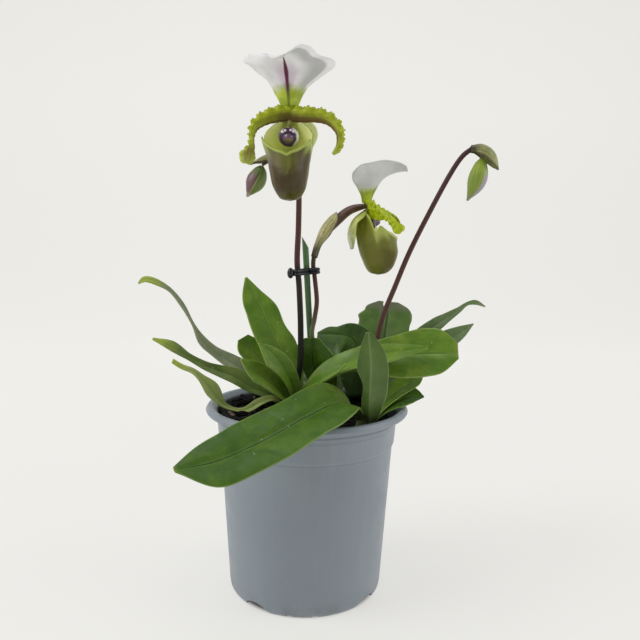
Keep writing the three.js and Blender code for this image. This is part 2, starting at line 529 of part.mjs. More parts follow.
// The two lower sepals are joined in one cup behind the slipper.
const lowerSepal = {
  spine: [[0, 0.5, -2.8], [1.2, 6, -7.8], [2, 9.8, -12.6], [2, 10.4, -19], [1.2, 8, -25.8]],
  face: [[0, -1, 0.8], [0, -1, 0.1], [0, -1, -0.3]],
  half: [[0, 3], [0.14, 9.4], [0.32, 12.8], [0.55, 12.2], [0.8, 8.2], [0.94, 4], [1, 1]],
  steps: 9, across: 6,
};

function lowerSepalRows() {
  const { half, ...shape } = lowerSepal;
  const rise = (t, v) => 4 * v * v * Math.sin(Math.PI * clamp(t + 0.15, 0, 1));
  return bladeRows({ ...shape, half: (t) => along(half, t), rise });
}

// A petal, narrow and curved down, with its upper margin crisped in small frills. `side` is -1
// for the left one as one looks at the flower.
const frill = { count: 8.5, height: 1.3, reach: 0.9 };

function petalRows({ side, spine, half, face }) {
  const ruffle = (t, v) => {
    const fade = Math.sin(Math.PI * clamp(0.86 * t + 0.1, 0, 1));
    return Math.max(0, -side * v) ** 2 * fade * Math.sin(2 * Math.PI * frill.count * t);
  };
  return bladeRows({
    spine, face,
    half: (t, v) => along(half, t) + frill.reach * ruffle(t, v),
    rise: (t, v) => frill.height * ruffle(t, v) - 1.1 * v * v,
    steps: 23,
  });
}

// The slipper: a deep bag with two ears beside its notched front lip, and a back wall that
// narrows to the claw it hangs by. All three profiles run from the bottom up.
const slipper = {
  rim: [[0, -21.4], [12, -19.4], [32, -17.4], [50, -15.4], [64, -12.6], [74, -14.6], [88, -19],
    [106, -15], [126, -9.4], [152, -4.8], [180, -3.4]],
  depth: [[-43.4, 0], [-42.4, 4.6], [-40, 7.6], [-36, 10], [-29, 12.2], [-22, 12.6], [-16, 12],
    [-11, 9.6], [-5, 4.6], [-2, 2.6]],
  width: [[-43.4, 0], [-42.4, 4.2], [-40, 6.4], [-36, 8.2], [-29, 9.5], [-22, 10.7], [-16, 12],
    [-11, 12.6], [-5, 9], [-2, 6]],
  centre: [[-43.4, 8.6], [-36, 9.2], [-29, 8.4], [-22, 7.4], [-16, 6.2], [-11, 4.4], [-5, 1.8],
    [-2, 0.4]],
  claw: [[-26, 0], [-20, 0.16], [-14, 0.38], [-8, 0.5], [-2, 0.6]], // how much narrower it is behind
  sides: 20, wall: 0.8, levels: [0, 0.03, 0.1, 0.24, 0.42, 0.62, 0.82, 1],
};

function slipperPoint(level, angle, inset) {
  const { rim, depth, width, centre: middle, claw } = slipper;
  const bottom = depth[0][0];
  const degrees = Math.abs(THREE.MathUtils.radToDeg(angle));
  const z = lerp(bottom, along(rim, degrees), level);
  const shrink = level === 0 ? 0 : inset;
  const narrow = 1 - along(claw, z) * smoothstep(degrees, 84, 125);
  return new THREE.Vector3(
    Math.max(0, along(width, z) * narrow - shrink) * Math.sin(angle),
    -along(middle, z) - Math.max(0, along(depth, z) - shrink) * Math.cos(angle),
    z + (level < 0.05 ? inset : 0),
  );
}

function makeSlipper() {
  const { sides, wall, levels } = slipper;
  const outside = levels.map((level) => [level, 0]);
  const inside = levels.map((level) => [level, wall]).reverse();
  const rings = [...outside, ...inside];
  const position = rings.flatMap(([level, inset]) =>
    Array.from({ length: sides }, (_, j) => {
      return slipperPoint(level, (2 * Math.PI * j) / sides - Math.PI, inset).toArray();
    }).flat(),
  );
  const index = [];
  for (let i = 0; i < rings.length - 1; i += 1) {
    for (let j = 0; j < sides; j += 1) {
      const k = (j + 1) % sides;
      const [a, b, c, d] = [i * sides + j, i * sides + k, (i + 1) * sides + k, (i + 1) * sides + j];
      index.push(a, b, c, a, c, d);
    }
  }
  const geometry = new THREE.BufferGeometry();
  geometry.setAttribute("position", new THREE.Float32BufferAttribute(position, 3));
  geometry.setIndex(index);
  return solidOf(geometry);
}

// The column: a short stalk from the flower's centre with a domed shield in front.
const column = { wide: 5.4, tall: 5.1, thick: 2, lean: 14 };

function makeColumn(at) {
  const { wide, tall, thick, lean } = column;
  const ball = new THREE.SphereGeometry(1, 10, 8);
  const position = ball.getAttribute("position");
  for (let i = 0; i < position.count; i += 1) {
    const [x, y, z] = [position.getX(i), position.getY(i), position.getZ(i)];
    const out = Math.hypot(x, z);
    const dome = y < 0 ? 1 + 0.6 * bump(out, 0, 0.35) - 0.3 * bump(out, 0.6, 0.2) : 1;
    const notch = 1 - 0.1 * bump(x, 0, 0.25) * (z > 0.6 ? 1 : 0);
    position.setXYZ(i, x * wide, y * thick * dome, z * tall * notch);
  }
  const shield = solidOf(ball.rotateX(radians(lean)).translate(...at));
  const spine = [[0, -1, -1.7], [0, -0.4, -5.2], [0, -2.6, -8.6], [0, at[1] + 1, at[2] + 0.6]];
  return shield.add(stem({ spine, radius: (t) => lerp(1.4, 1.7, t), steps: 4, sides: 7 }));
}

// One flower. `size` scales it, and each piece is cut clear of those already set.
function makeFlower(tag, { size, hood, petals, shield }) {
  const flower = new THREE.Group();
  const clear = gap / size;
  const set = [centre(clear)];
  const clearOf = (solid) => set.reduce((left, other) => left.subtract(other), solid);
  const addSheet = (name, rows, color) => {
    flower.add(meshOf(`${name}_${tag}`, clearOf(sheet(rows, petalThickness)), { color }));
    set.push(sheet(rows, petalThickness, clear));
  };
  addSheet("dorsal_sepal", dorsalRows(hood), 0xe9e8ea);
  addSheet("lower_sepal", lowerSepalRows(), 0xb7c68a);
  addSheet("petal_left", petalRows({ side: -1, ...petals.left }), 0x92a62c);
  addSheet("petal_right", petalRows({ side: 1, ...petals.right }), 0x92a62c);
  flower.add(meshOf(`column_${tag}`, clearOf(makeColumn(shield)), { color: 0x6f4a63, roughness: 0.3 }));
  flower.add(meshOf(`slipper_${tag}`, clearOf(makeSlipper()), { color: 0x69623c, roughness: 0.35 }));
  flower.scale.setScalar(size);
  return flower;
}

const facing = [[0, -1, 0], [0, -1, 0]];
const evenHood = [[3.8, 2, 1.6], [6, 2.8, 6.4], [11.6, 5, 11.2], [19, 6.4, 15.4], [22, 4.6, 19.8],
  [19.6, -0.4, 23.4], [13, -9.6, 26], [7, -18, 26], [1.2, -24.6, 22.2]];
const evenPetal = [[0, 3.6], [0.12, 4.2], [0.3, 3.4], [0.6, 2.5], [0.8, 1.7], [0.92, 1.5], [1, 0.6]];
const spoonPetal = [[0, 3.6], [0.12, 4.2], [0.3, 3.4], [0.55, 2.2], [0.7, 1.4], [0.78, 1.9],
  [0.9, 3.9], [0.97, 3], [1, 1]];
const flowers = {
  main: {
    at: [-11.2, -34, 275], turn: [8, -2, -4], size: 1.07, shield: [0, -7.6, -13],
    hood: {
      left: [[4, 1.8, 1.6], [6.6, 3, 7], [11.4, 5.8, 14.4], [17.8, 7.4, 19.8], [22.6, 7, 23.6],
        [18.6, 1.4, 25.6], [11.6, -7, 25], [5.6, -17, 21.6], [1.2, -25.4, 21.3]],
      right: [[4, 1.8, 1.6], [6.8, 3, 7.4], [11.6, 5.8, 13], [18, 7.6, 17], [22.2, 6, 21.6],
        [14.8, -1, 24.4], [10.6, -9, 27.2], [7.2, -17, 26.8], [1.2, -25.4, 21.9]],
    },
    petals: {
      left: { half: spoonPetal, face: facing,
        spine: [[-0.5, -1.6, -1.4], [-4.4, -3, -1.7], [-10, -5, -3], [-14.8, -8, -5.6],
          [-17.4, -11, -9.2], [-17.4, -14, -13.4], [-18, -15.5, -16.6], [-19.6, -17, -21],
          [-20.4, -18, -24.4]] },
      right: { half: evenPetal, face: facing,
        spine: [[0.5, -1.6, -1.4], [4.4, -3, -2.2], [14.2, -6, -3.4], [20.4, -9, -6],
          [24, -12.5, -10.4], [24.8, -15, -15.4], [23.8, -16.5, -19], [21.6, -17.5, -21.4]] },
    },
  },
  side: {
    at: [34.4, 21, 229.4], turn: [0, 0, 78], size: 0.97, shield: [0, -6.2, -10],
    hood: { left: evenHood, right: evenHood },
    petals: {
      left: { half: spoonPetal, face: [[0, -1, 0.2], [-0.5, -1, 0.3], [-0.9, -0.4, 0.2]],
        spine: [[-0.5, -1.4, -1.6], [-7, -6, -4.8], [-12.4, -11.5, -6.2], [-16.2, -16.4, -8.2],
          [-18, -20.2, -11.2], [-18.6, -23.8, -15.2]] },
      right: { half: evenPetal, face: [[0, -1, 0.2], [0.5, -1, 0.3], [0.9, -0.4, 0.2]],
        spine: [[0.5, -1.4, -0.6], [7, -5.2, 1.4], [12.4, -10.8, 0.4], [16.4, -15.8, -2.2],
          [18, -19, -7], [17.6, -20.8, -13]] },
    },
  },
};

// ---- ovaries, bracts and buds ----
const swellingStops = (thin, wide) => [[0, thin], [0.4, wide], [0.75, 0.86 * wide], [1, 0.5 * wide]];
const swelling = (thin, wide) => (t) => along(swellingStops(thin, wide), t);
const ovaries = {
  ovary_main: { flower: "main", radius: swelling(1.5, 2.4),
    spine: [[-7.3, -15.4, 252.8], [-6.6, -14.6, 260], [-7.2, -17, 268.4], [-8.8, -24, 274],
      [-11.2, -34, 275]] },
  ovary_side: { flower: "side", radius: swelling(1.3, 3.1),
    spine: [[6.5, 6.5, 207.2], [11, 9.6, 213.6], [17, 13, 220.4], [24.5, 17, 226.4], [34.4, 21, 229.4]] },
  ovary_bud_main: { radius: swelling(1.1, 1.5),
    spine: [[-9.2, -15.1, 250.6], [-15, -16, 252.2], [-21, -17.6, 251.8], [-26.2, -19.3, 247.9]] },
  ovary_bud_top: { radius: swelling(1.3, 1.6),
    spine: [[96.5, 8, 263.4], [99.8, 8, 262.4], [101.5, 8, 260], [101.2, 8, 257.4]] },
};

// An ovary has three shallow ribs, and one that carries a flower ends in the small knob that
// the sepals and petals grow from.
function makeOvary({ flower, ...shape }) {
  const solid = stem({ ...shape, steps: 7, sides: 9, ribs: 3, ridge: 0.12 });
  if (!flower) return solid;
  const { at, size } = flowers[flower];
  return solid.add(centre(0).scale(size).translate(at));
}

// A bract wraps the stalk it guards: an open sheath about an axis, `reach` from it and `wrap`
// degrees to either side of its back, narrowing to a point.
const bracts = {
  bract_main: { back: [-0.3, 0, 1], steps: 9,
    axis: [[-10.8, -15.6, 250.8], [-17, -16.4, 251.8], [-24, -18.4, 249.6], [-31, -20.4, 245.4]],
    reach: [[0, 2.6], [0.4, 3.6], [0.8, 3.6], [1, 3]], wrap: [[0, 124], [0.4, 116], [0.75, 74], [1, 8]] },
  bract_side: { back: [-1, -0.1, 0.7], steps: 9,
    axis: [[7.3, 7.1, 208.4], [11, 9.6, 213.6], [15, 11.8, 218.4], [19, 13.8, 221.4]],
    reach: [[0, 2.4], [0.35, 4.2], [0.75, 4.6], [1, 4.4]],
    wrap: [[0, 120], [0.4, 116], [0.75, 84], [1, 8]] },
  bract_top: { back: [0.2, 0, 1], steps: 10,
    axis: [[96.6, 8, 262.4], [101, 8, 260.4], [104.6, 8, 256], [107, 8, 249.6]],
    reach: [[0, 2.9], [0.3, 4.2], [0.7, 4.6], [1, 4.2]], wrap: [[0, 90], [0.3, 88], [0.7, 56], [1, 8]] },
};

function bractRows({ back, axis, reach, wrap, steps }) {
  const curve = new THREE.CatmullRomCurve3(axis.map(vec), false, "catmullrom", 0.5);
  return Array.from({ length: steps + 1 }, (_, i) => {
    const t = i / steps;
    const tangent = curve.getTangent(t);
    const side = new THREE.Vector3().crossVectors(tangent, vec(back)).normalize();
    const up = new THREE.Vector3().crossVectors(side, tangent);
    return Array.from({ length: 5 }, (_, j) => {
      const angle = radians(along(wrap, t) * (j / 2 - 1));
      const p = curve.getPoint(t).addScaledVector(up, along(reach, t) * Math.cos(angle));
      return p.addScaledVector(side, along(reach, t) * Math.sin(angle));
    });
  });
}

// A closed bud: three sepals meet along shallow seams, and it ends in a beak.
const buds = {
  bud_main: { spine: [[-26.4, -19.4, 247.4], [-28.3, -20, 242], [-31, -20.6, 236.6],
    [-34.4, -21, 230.8]], width: 10.4 },
  bud_top: { spine: [[101.1, 8, 256.9], [99.6, 8, 248.4], [97.2, 8, 240.4],
    [93.4, 8, 232.6]], width: 11 },
};

function makeBud({ spine, width }) {
  const outline = [[0, 0.12], [0.12, 0.32], [0.38, 0.5], [0.6, 0.46], [0.82, 0.24], [0.93, 0.11],
    [1, 0.06]];
  const radius = (t) => width * along(outline, t);
  return stem({ spine, radius, steps: 11, sides: 12, ribs: 3, ridge: 0.1 });
}

// ---- the whole plant ----
const colours = {
  pot: { color: 0x868c95, roughness: 0.45 }, soil: { color: 0x1c1512, roughness: 0.95 },
  crown: { color: 0x6f8a3e }, leaf: { color: 0x4c7a2c, roughness: 0.4 },
  stalk: { color: 0x4a2a28, roughness: 0.6 }, cane: { color: 0x3f6b3a },
  clip: { color: 0x10161a, roughness: 0.35 }, bract: { color: 0x97985f }, bud: { color: 0x7d8a4a },
};

const orchid = new THREE.Group();
const add = (name, solid, colour) => orchid.add(meshOf(name, solid, colour));
const addAll = (solids, colour) => {
  for (const [name, solid] of Object.entries(solids)) add(name, solid, colour);
};
const each = (table, make) => {
  return Object.fromEntries(Object.entries(table).map(([name, item]) => [name, make(item)]));
};

const crownHoles = Object.values(crowns).map((crown) => makeCrown(crown, gap));
add("pot", makePot(), colours.pot);
add("soil", makeSoil([...crownHoles, stem(caneStem, gap)]), colours.soil);
for (const [name, crown] of Object.entries(crowns)) add(`crown_${name}`, makeCrown(crown), colours.crown);
addAll(makeLeaves(), colours.leaf);
addAll(each(stalks, (stalk) => stem(stalk)), colours.stalk);
add("cane", makeCane(), colours.cane);
add("clip", makeClip([stalks.scape_main, stalks.scape_side, caneStem]), colours.clip);
addAll(each(ovaries, makeOvary), colours.stalk);
addAll(each(bracts, (bract) => sheet(bractRows(bract), petalThickness)), colours.bract);
addAll(each(buds, makeBud), colours.bud);

for (const [tag, { at, turn, ...details }] of Object.entries(flowers)) {
  const flower = makeFlower(tag, details);
  flower.position.set(...at);
  flower.rotation.set(...turn.map(radians));
  orchid.add(flower);
}

export default orchid;
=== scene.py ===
import math
import random

import bpy
from mathutils import Matrix, Vector, noise


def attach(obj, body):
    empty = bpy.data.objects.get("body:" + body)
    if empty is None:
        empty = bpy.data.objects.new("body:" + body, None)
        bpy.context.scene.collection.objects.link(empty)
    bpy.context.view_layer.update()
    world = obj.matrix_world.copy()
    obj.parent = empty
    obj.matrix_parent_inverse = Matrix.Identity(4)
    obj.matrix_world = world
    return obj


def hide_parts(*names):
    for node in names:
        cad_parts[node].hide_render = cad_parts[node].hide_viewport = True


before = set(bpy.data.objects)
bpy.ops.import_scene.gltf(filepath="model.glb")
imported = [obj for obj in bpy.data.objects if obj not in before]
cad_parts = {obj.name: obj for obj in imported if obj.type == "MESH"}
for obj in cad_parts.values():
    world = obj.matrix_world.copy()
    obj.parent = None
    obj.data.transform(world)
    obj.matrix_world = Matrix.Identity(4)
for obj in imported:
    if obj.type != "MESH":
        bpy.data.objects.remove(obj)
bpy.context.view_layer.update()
mm = 0.001  # the sizes below are in millimetres, +Z up, with the front of the plant towards -Y
print("frame loaded,", len(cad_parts), "nodes")


def lerp(a, b, t):
    return a + (b - a) * t


def clamp(x, low=0.0, high=1.0):
    return max(low, min(high, x))


def smooth(x, low, high):
    t = clamp((x - low) / (high - low))
    return t * t * (3 - 2 * t)


def bump(x, centre, spread):
    return math.exp(-(((x - centre) / spread) ** 2))


# A value that runs smoothly through a list of (position, value) pairs.
def along(pairs, t):
    last = len(pairs) - 1
    i = 0
    while i < last - 1 and t > pairs[i + 1][0]:
        i += 1

    def slope(k):
        start, end = pairs[max(k - 1, 0)], pairs[min(k + 1, last)]
        return (end[1] - start[1]) / (end[0] - start[0])

    span = pairs[i + 1][0] - pairs[i][0]
    f = clamp((t - pairs[i][0]) / span)
    ends = lerp(pairs[i][1], pairs[i + 1][1], f * f * (3 - 2 * f))
    return ends + span * ((f**3 - 2 * f * f + f) * slope(i) + (f**3 - f * f) * slope(i + 1))


# The same for values at even spacing, and for a list of points or directions.
def through(stops, t):
    return along([(i / (len(stops) - 1), value) for i, value in enumerate(stops)], t)


def throughPoints(points, t):
    return Vector([through([p[k] for p in points], t) for k in range(3)])


# A smooth curve through points, and its direction.
def curvePoint(points, t):
    place = clamp(t) * (len(points) - 1)
    i = min(int(place), len(points) - 2)
    f = place - i
    b, c = Vector(points[i]), Vector(points[i + 1])
    a = Vector(points[i - 1]) if i > 0 else 2 * b - c
    d = Vector(points[i + 2]) if i + 2 < len(points) else 2 * c - b
    slope, bend, twist = c - a, 2 * a - 5 * b + 4 * c - d, 3 * b - a - 3 * c + d
    return 0.5 * (2 * b + slope * f + bend * f * f + twist * f**3)


def curveWay(points, t):
    step = 0.002
    return (curvePoint(points, min(t + step, 1)) - curvePoint(points, max(t - step, 0))).normalized()


def alone(piece):  # only this piece is selected
    bpy.ops.object.select_all(action="DESELECT")
    piece.select_set(True)
    bpy.context.view_layer.objects.active = piece


def added(name, primitive, **settings):  # a new primitive, by itself, under its own name
    bpy.ops.object.select_all(action="DESELECT")
    primitive(**settings)
    piece = bpy.context.object
    piece.name = name
    return piece


def modify(piece, kind, **settings):
    alone(piece)
    modifier = piece.modifiers.new(kind.title(), kind)
    for key, value in settings.items():
        setattr(modifier, key, value)
    bpy.ops.object.modifier_apply(modifier=modifier.name)


def weld(piece):
    alone(piece)
    bpy.ops.object.mode_set(mode="EDIT")
    bpy.ops.mesh.select_all(action="SELECT")
    bpy.ops.mesh.remove_doubles(threshold=0.01 * mm)
    bpy.ops.mesh.normals_make_consistent(inside=False)
    bpy.ops.object.mode_set(mode="OBJECT")


def joined(pieces):  # one piece of several, under the first one's name
    alone(pieces[0])
    for piece in pieces:
        piece.select_set(True)
    bpy.ops.object.join()
    return pieces[0]


# A grid whose point at v, from -1 to 1 across, and t, from 0 to 1 along, goes to shape(v, t).
def shapedGrid(name, shape, across, steps):
    make = bpy.ops.mesh.primitive_grid_add
    piece = added(name, make, x_subdivisions=across, y_subdivisions=steps, size=1)
    for vertex in piece.data.vertices:
        vertex.co = shape(2 * vertex.co.x, vertex.co.y + 0.5) * mm
    return piece


def ball(name, segments, rings, **settings):
    return added(name, bpy.ops.mesh.primitive_uv_sphere_add, segments=segments, ring_count=rings, **settings)


# Even stations along a curve: a point and two crosswise directions, the first to the front.
def stationsOn(spine, steps):
    count = 300
    fine = [curvePoint(spine, i / count) for i in range(count + 1)]
    lengths = [0.0]
    for a, b in zip(fine, fine[1:]):
        lengths.append(lengths[-1] + (b - a).length)
    stations = []
    side = Vector((0, -1, 0.02))
    k = 0
    for i in range(steps + 1):
        goal = lengths[-1] * i / steps
        while k < count - 1 and lengths[k + 1] < goal:
            k += 1
        f = (goal - lengths[k]) / (lengths[k + 1] - lengths[k])
        way = curveWay(spine, (k + f) / count)
        side = (side - way * side.dot(way)).normalized()
        stations.append((fine[k].lerp(fine[k + 1], f), side, way.cross(side)))
    return stations


# A round body along a spine, with its radius at t and at an angle from the front, and closed
# ends. Its UV map has the angle across and t along.
def rolled(name, spine, radius, sides=24, steps=40):
    stations = stationsOn(spine, steps)

    def shape(v, t):
        row = round(t * (steps + 2))
        i = int(clamp(row - 1, 0, steps))
        point, side, across = stations[i]
        turn = math.pi * v
        reach = 0 if row in (0, steps + 2) else radius(i / steps, turn)
        return point + side * (reach * math.cos(turn)) + across * (reach * math.sin(turn))

    piece = shapedGrid(name, shape, sides, steps + 2)
    weld(piece)
    return piece


# The shape of a blade along a spine. `face` lists the ways that its upper side looks, `half`
# is the half width, `fold` the angles that both sides are raised by, and `rise` a further lift.
def bladeShape(spine, face, half, fold=(0, 0), rise=None, ease=1.2, crease=0.05):
    kept = {}

    def station(t):
        if t not in kept:
            way = curveWay(spine, t)
            side = way.cross(throughPoints(face, t)).normalized()
            kept[t] = (curvePoint(spine, t), side, side.cross(way), math.radians(through(fold, t)))
        return kept[t]

    def shape(v, s):
        t = 1 - (1 - s) ** ease
        point, side, normal, lift = station(t)
        reach = half(t, v)
        bent = math.sqrt(v * v + crease * crease) - crease
        up = reach * bent * math.sin(lift) + (rise(t, v) if rise else 0)
        return point + side * (reach * v * math.cos(lift)) + normal * up

    return shape


# A blade made solid, with its face in the first material and its back in the last.
def blade(name, shape, form, *materials):
    piece = shapedGrid(name, shape, form["across"], form["steps"])
    for material in materials:
        piece.data.materials.append(material)
    modify(piece, "SOLIDIFY", thickness=form["thickness"] * mm, offset=0, material_offset=len(materials) - 1)
    return piece


# Gives a piece its skin, smooths it and lets it stand for its nodes.
def hand(piece, slot, *nodes, skin=None, angle=None):
    if skin:
        piece.data.materials.append(skin)
    alone(piece)
    if angle:
        bpy.ops.object.shade_smooth_by_angle(angle=math.radians(angle))
    else:
        bpy.ops.object.shade_smooth()
    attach(piece, "root")
    if nodes:
        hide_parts(*nodes)


def camel(name):
    first, *rest = name.split("_")
    return first + "".join(word.title() for word in rest)


def rgb(red, green, blue):  # a screen colour from 0 to 255 as the shader's linear one
    parts = [c / 255 for c in (red, green, blue)]
    return (*[c / 12.92 if c <= 0.04045 else ((c + 0.055) / 1.055) ** 2.4 for c in parts], 1)


def connect(socket, value):
    if isinstance(value, bpy.types.NodeSocket):
        socket.id_data.links.new(value, socket)
    else:
        socket.default_value = value


def addNode(tree, kind, inputs=None, **settings):
    item = tree.nodes.new(kind)
    for key, value in settings.items():
        setattr(item, key, value)
    for key, value in (inputs or {}).items():
        connect(item.inputs[key], value)
    return item


# Sums and masks, in the node tree of the first value that they are given.
def maths(operation, a, b=0.0):
    return addNode(a.id_data, "ShaderNodeMath", {0: a, 1: b}, operation=operation).outputs[0]


def plus(first, *others):
    for other in others:
        first = maths("ADD", first, other)
    return first


def times(first, *others):
    for other in others:
        first = maths("MULTIPLY", first, other)
    return first


def minus(a, b):
    return maths("SUBTRACT", a, b)


def sway(pattern, amount):  # a pattern from 0 to 1 as a shift to both sides
    return times(minus(pattern, 0.5), amount)


def apart(x, y):  # the length of a step of x and y
    return maths("SQRT", plus(times(x, x), times(y, y)))


def fade(value, start, end, low=0.0, high=1.0):  # a soft step from low to high
    inputs = {"Value": value, "From Min": start, "From Max": end, "To Min": low, "To Max": high}
    return addNode(value.id_data, "ShaderNodeMapRange", inputs, interpolation_type="SMOOTHSTEP").outputs[0]


def mixed(mask, a, b):
    item = addNode(mask.id_data, "ShaderNodeMix", {0: mask}, data_type="RGBA")
    connect(item.inputs[6], a)
    connect(item.inputs[7], b)
    return item.outputs[2]


def layered(colour, *layers):  # each layer is a mask and the colour that it lays over the rest
    for mask, over in layers:
        colour = mixed(mask, colour, over)
    return colour


def ramp(value, stops):
    item = addNode(value.id_data, "ShaderNodeValToRGB", {0: value})
    first, *middle, last = stops
    elements = item.color_ramp.elements
    elements[0].position, elements[0].color = first
    elements[1].position, elements[1].color = last
    for place, colour in middle:
        elements.new(place).color = colour
    return item.outputs[0]


def pointParts(tree, kind="Object"):  # the three parts of where a point lies, in metres or on its UV map
    where = addNode(tree, "ShaderNodeTexCoord").outputs[kind]
    return addNode(tree, "ShaderNodeSeparateXYZ", {0: where}).outputs


def grain(tree, scale, detail=4.0, stretch=(1, 1, 1), distortion=0.0):  # noise on the piece itself, in metres
    place = addNode(tree, "ShaderNodeTexCoord").outputs["Object"]
    mapping = addNode(tree, "ShaderNodeMapping", {"Vector": place, "Scale": stretch})
    inputs = {"Vector": mapping.outputs[0], "Scale": scale, "Detail": detail, "Distortion": distortion}
    return addNode(tree, "ShaderNodeTexNoise", inputs).outputs[0]


def newGroup(name, inputs, outputs):  # the inputs come with their values, and Colour is a colour
    tree = bpy.data.node_groups.new(name, "ShaderNodeTree")
    kinds = {True: "NodeSocketColor", False: "NodeSocketFloat"}
    for label, value in inputs.items():
        kind = kinds[isinstance(value, tuple)]
        tree.interface.new_socket(name=label, in_out="INPUT", socket_type=kind).default_value = value
    for label in outputs:
        tree.interface.new_socket(name=label, in_out="OUTPUT", socket_type=kinds[label == "Colour"])
    return tree, addNode(tree, "NodeGroupInput").outputs, addNode(tree, "NodeGroupOutput").inputs


def useGroup(tree, group, **inputs):
    item = addNode(tree, "ShaderNodeGroup", node_tree=group)
    for key, value in inputs.items():
        connect(item.inputs[key.title()], value)
    return item.outputs


def feed(material, **values):  # sets or links the shader's sockets by their names
    shader = material.node_tree.nodes["Principled BSDF"]
    for key, value in values.items():
        connect(shader.inputs[key.replace("_", " ").title().replace("Ior", "IOR")], value)
    return material


# A new material and its tree. `soft` is how much light goes in, and how deep.
def newMaterial(name, roughness, soft=(0, 1), **constants):
    material = bpy.data.materials.new(name)
    material.use_nodes = True
    if soft[0]:
        constants.update(subsurface_weight=soft[0], subsurface_scale=soft[1] * mm)
    feed(material, **{"roughness": roughness, "subsurface_radius": (0.9, 1, 0.6), **constants})
    return material, material.node_tree


def dress(material, colour, height=None, distance=0.1, strength=0.6, **others):
    if height is not None:
        inputs = {"Height": height, "Distance": distance * mm, "Strength": strength}
        others["normal"] = addNode(material.node_tree, "ShaderNodeBump", inputs).outputs[0]
    return feed(material, base_color=colour, **others)


# Where a point lies on a blade: across from -1 to 1, its distance from the middle, and along.
def makeBladePlace():
    tree, _, out = newGroup("bladePlace", {}, ("Across", "Edge", "Along"))
    x, y, _ = pointParts(tree, "UV")
    across = sway(x, 2)
    connect(out["Across"], across)
    connect(out["Edge"], maths("ABSOLUTE", across))
    connect(out["Along"], y)
    return tree


# Lines along a blade or a stem, `count` of them to a side, that waver and come and go.
def makeLines():
    tree, given, out = newGroup("lengthLines", dict(Count=8, Waver=1, Thin=3), ["Line"])
    across = useGroup(tree, bladePlace)["Across"]
    turn = plus(times(across, given["Count"]), sway(grain(tree, 160, 2), given["Waver"]))
    wave = maths("COSINE", times(turn, 2 * math.pi))
    connect(out["Line"], maths("POWER", times(plus(wave, 1), 0.5), given["Thin"]))
    return tree


# Small dots strewn over a surface.
def makeSpecks():
    tree, given, out = newGroup("specks", dict(Scale=900, Size=0.2, Share=0.5), ["Mask"])
    place = addNode(tree, "ShaderNodeTexCoord").outputs["Object"]
    cells = addNode(tree, "ShaderNodeTexVoronoi", {"Vector": place, "Scale": given["Scale"]}).outputs
    lot = addNode(tree, "ShaderNodeSeparateXYZ", {0: cells["Color"]}).outputs[0]
    dot = fade(minus(given["Size"], cells["Distance"]), 0, 0.08)
    connect(out["Mask"], times(dot, maths("LESS_THAN", lot, given["Share"])))
    return tree


def linesOn(tree, count, waver, thin):
    return useGroup(tree, lengthLines, count=count, waver=waver, thin=thin)["Line"]


def dotsOn(tree, scale, size, share):
    return useGroup(tree, specks, scale=scale, size=size, share=share)["Mask"]


# The skin of a leaf: faint lengthwise veins, cloudy and lime patches, painted shade in the midrib
# groove with a painted highlight beside it, a pale margin and foot, a tip that yellows from
# `Reach` on, and dust.
def makeLeafSkin():
    colours = dict.fromkeys(("Base", "Deep", "Lime", "Midrib", "Margin", "Foot", "Tip"), (0, 0, 0, 1))
    tree, given, out = newGroup("leafSkin", dict(colours, Reach=0.93), ("Colour", "Height", "Rough"))
    _, edge, lengthways = useGroup(tree, bladePlace)
    broad, fine = grain(tree, 75, 6, distortion=0.8), grain(tree, 420, 5)
    veins = times(linesOn(tree, 6.5, 1.6, 2), fade(grain(tree, 90, 3), 0.35, 0.65))
    foot = fade(plus(lengthways, times(grain(tree, 200, 2), 0.1)), 0.3, 0.06)
    far = plus(lengthways, sway(broad, 0.25))
    colour = layered(
        mixed(fade(broad, 0.3, 0.7), given["Deep"], given["Base"]),
        (fade(grain(tree, 34, 4, distortion=1), 0.48, 0.72, 0, 0.6), given["Lime"]),
        (times(veins, 0.1), given["Margin"]),
        (fade(fine, 0.4, 0.7, 0, 0.3), given["Deep"]),
        # a painted highlight beside the midrib groove, then painted shade in it
        (fade(edge, 0.14, 0.05, 0, 0.25), given["Margin"]),
        (fade(edge, 0.045, 0.015, 0, 0.9), given["Midrib"]),
        (times(foot, 0.7), given["Foot"]),
        (fade(edge, 0.95, 0.985, 0, 0.8), given["Margin"]),
        (fade(far, given["Reach"], plus(given["Reach"], 0.14)), given["Tip"]),
        (times(dotsOn(tree, 320, 0.17, 0.1), 0.45), rgb(196, 206, 160)),
    )
    connect(out["Colour"], colour)
    uneven = plus(times(grain(tree, 1400, 3), 0.4), times(fine, 0.8), times(broad, 5))
    connect(out["Height"], plus(times(veins, 0.4), uneven))
    connect(out["Rough"], fade(grain(tree, 120, 4, distortion=1), 0.35, 0.65, 0.3, 0.52))
    return tree


bladePlace = makeBladePlace()
lengthLines = makeLines()
specks = makeSpecks()
leafSkin = makeLeafSkin()
print("shared effects made")


pot = dict(baseRadius=45.5, wall=1.2, floor=1.6, turns=144, round=0.5,
           # painted shade lines under the rim and the collar, at their heights and with their shares
           grooves=((88.6, 0.25), (101, 0.16), (104.4, 0.5)),
           wallProfile=((2, 45.2), (5, 45.7), (88, 51.1), (90.5, 52.2), (103, 53.2)),
           lip=((54.6, 103.8), (55.2, 106.8), (59.1, 107.1), (60, 108.7), (58.6, 111), (56.2, 111),
                (53.4, 108.4)),
           innerFoot=42.45, innerSlope=0.1, darkFrom=96,  # the painted shade inside, above the bark
           scallops=4, firstScallop=-38, scallopHalf=8.5, scallopHeight=4.6,
           slotTurns=(-11, 8), slotWidth=3.2, slotHeight=1.8)


def innerRadius(z):
    wall = pot["wallProfile"]
    i = next((k for k in range(1, len(wall)) if wall[k][0] >= z), len(wall) - 1)
    (z0, r0), (z1, r1) = wall[i - 1], wall[i]
    return lerp(r0, r1, (z - z0) / (z1 - z0)) - pot["wall"]


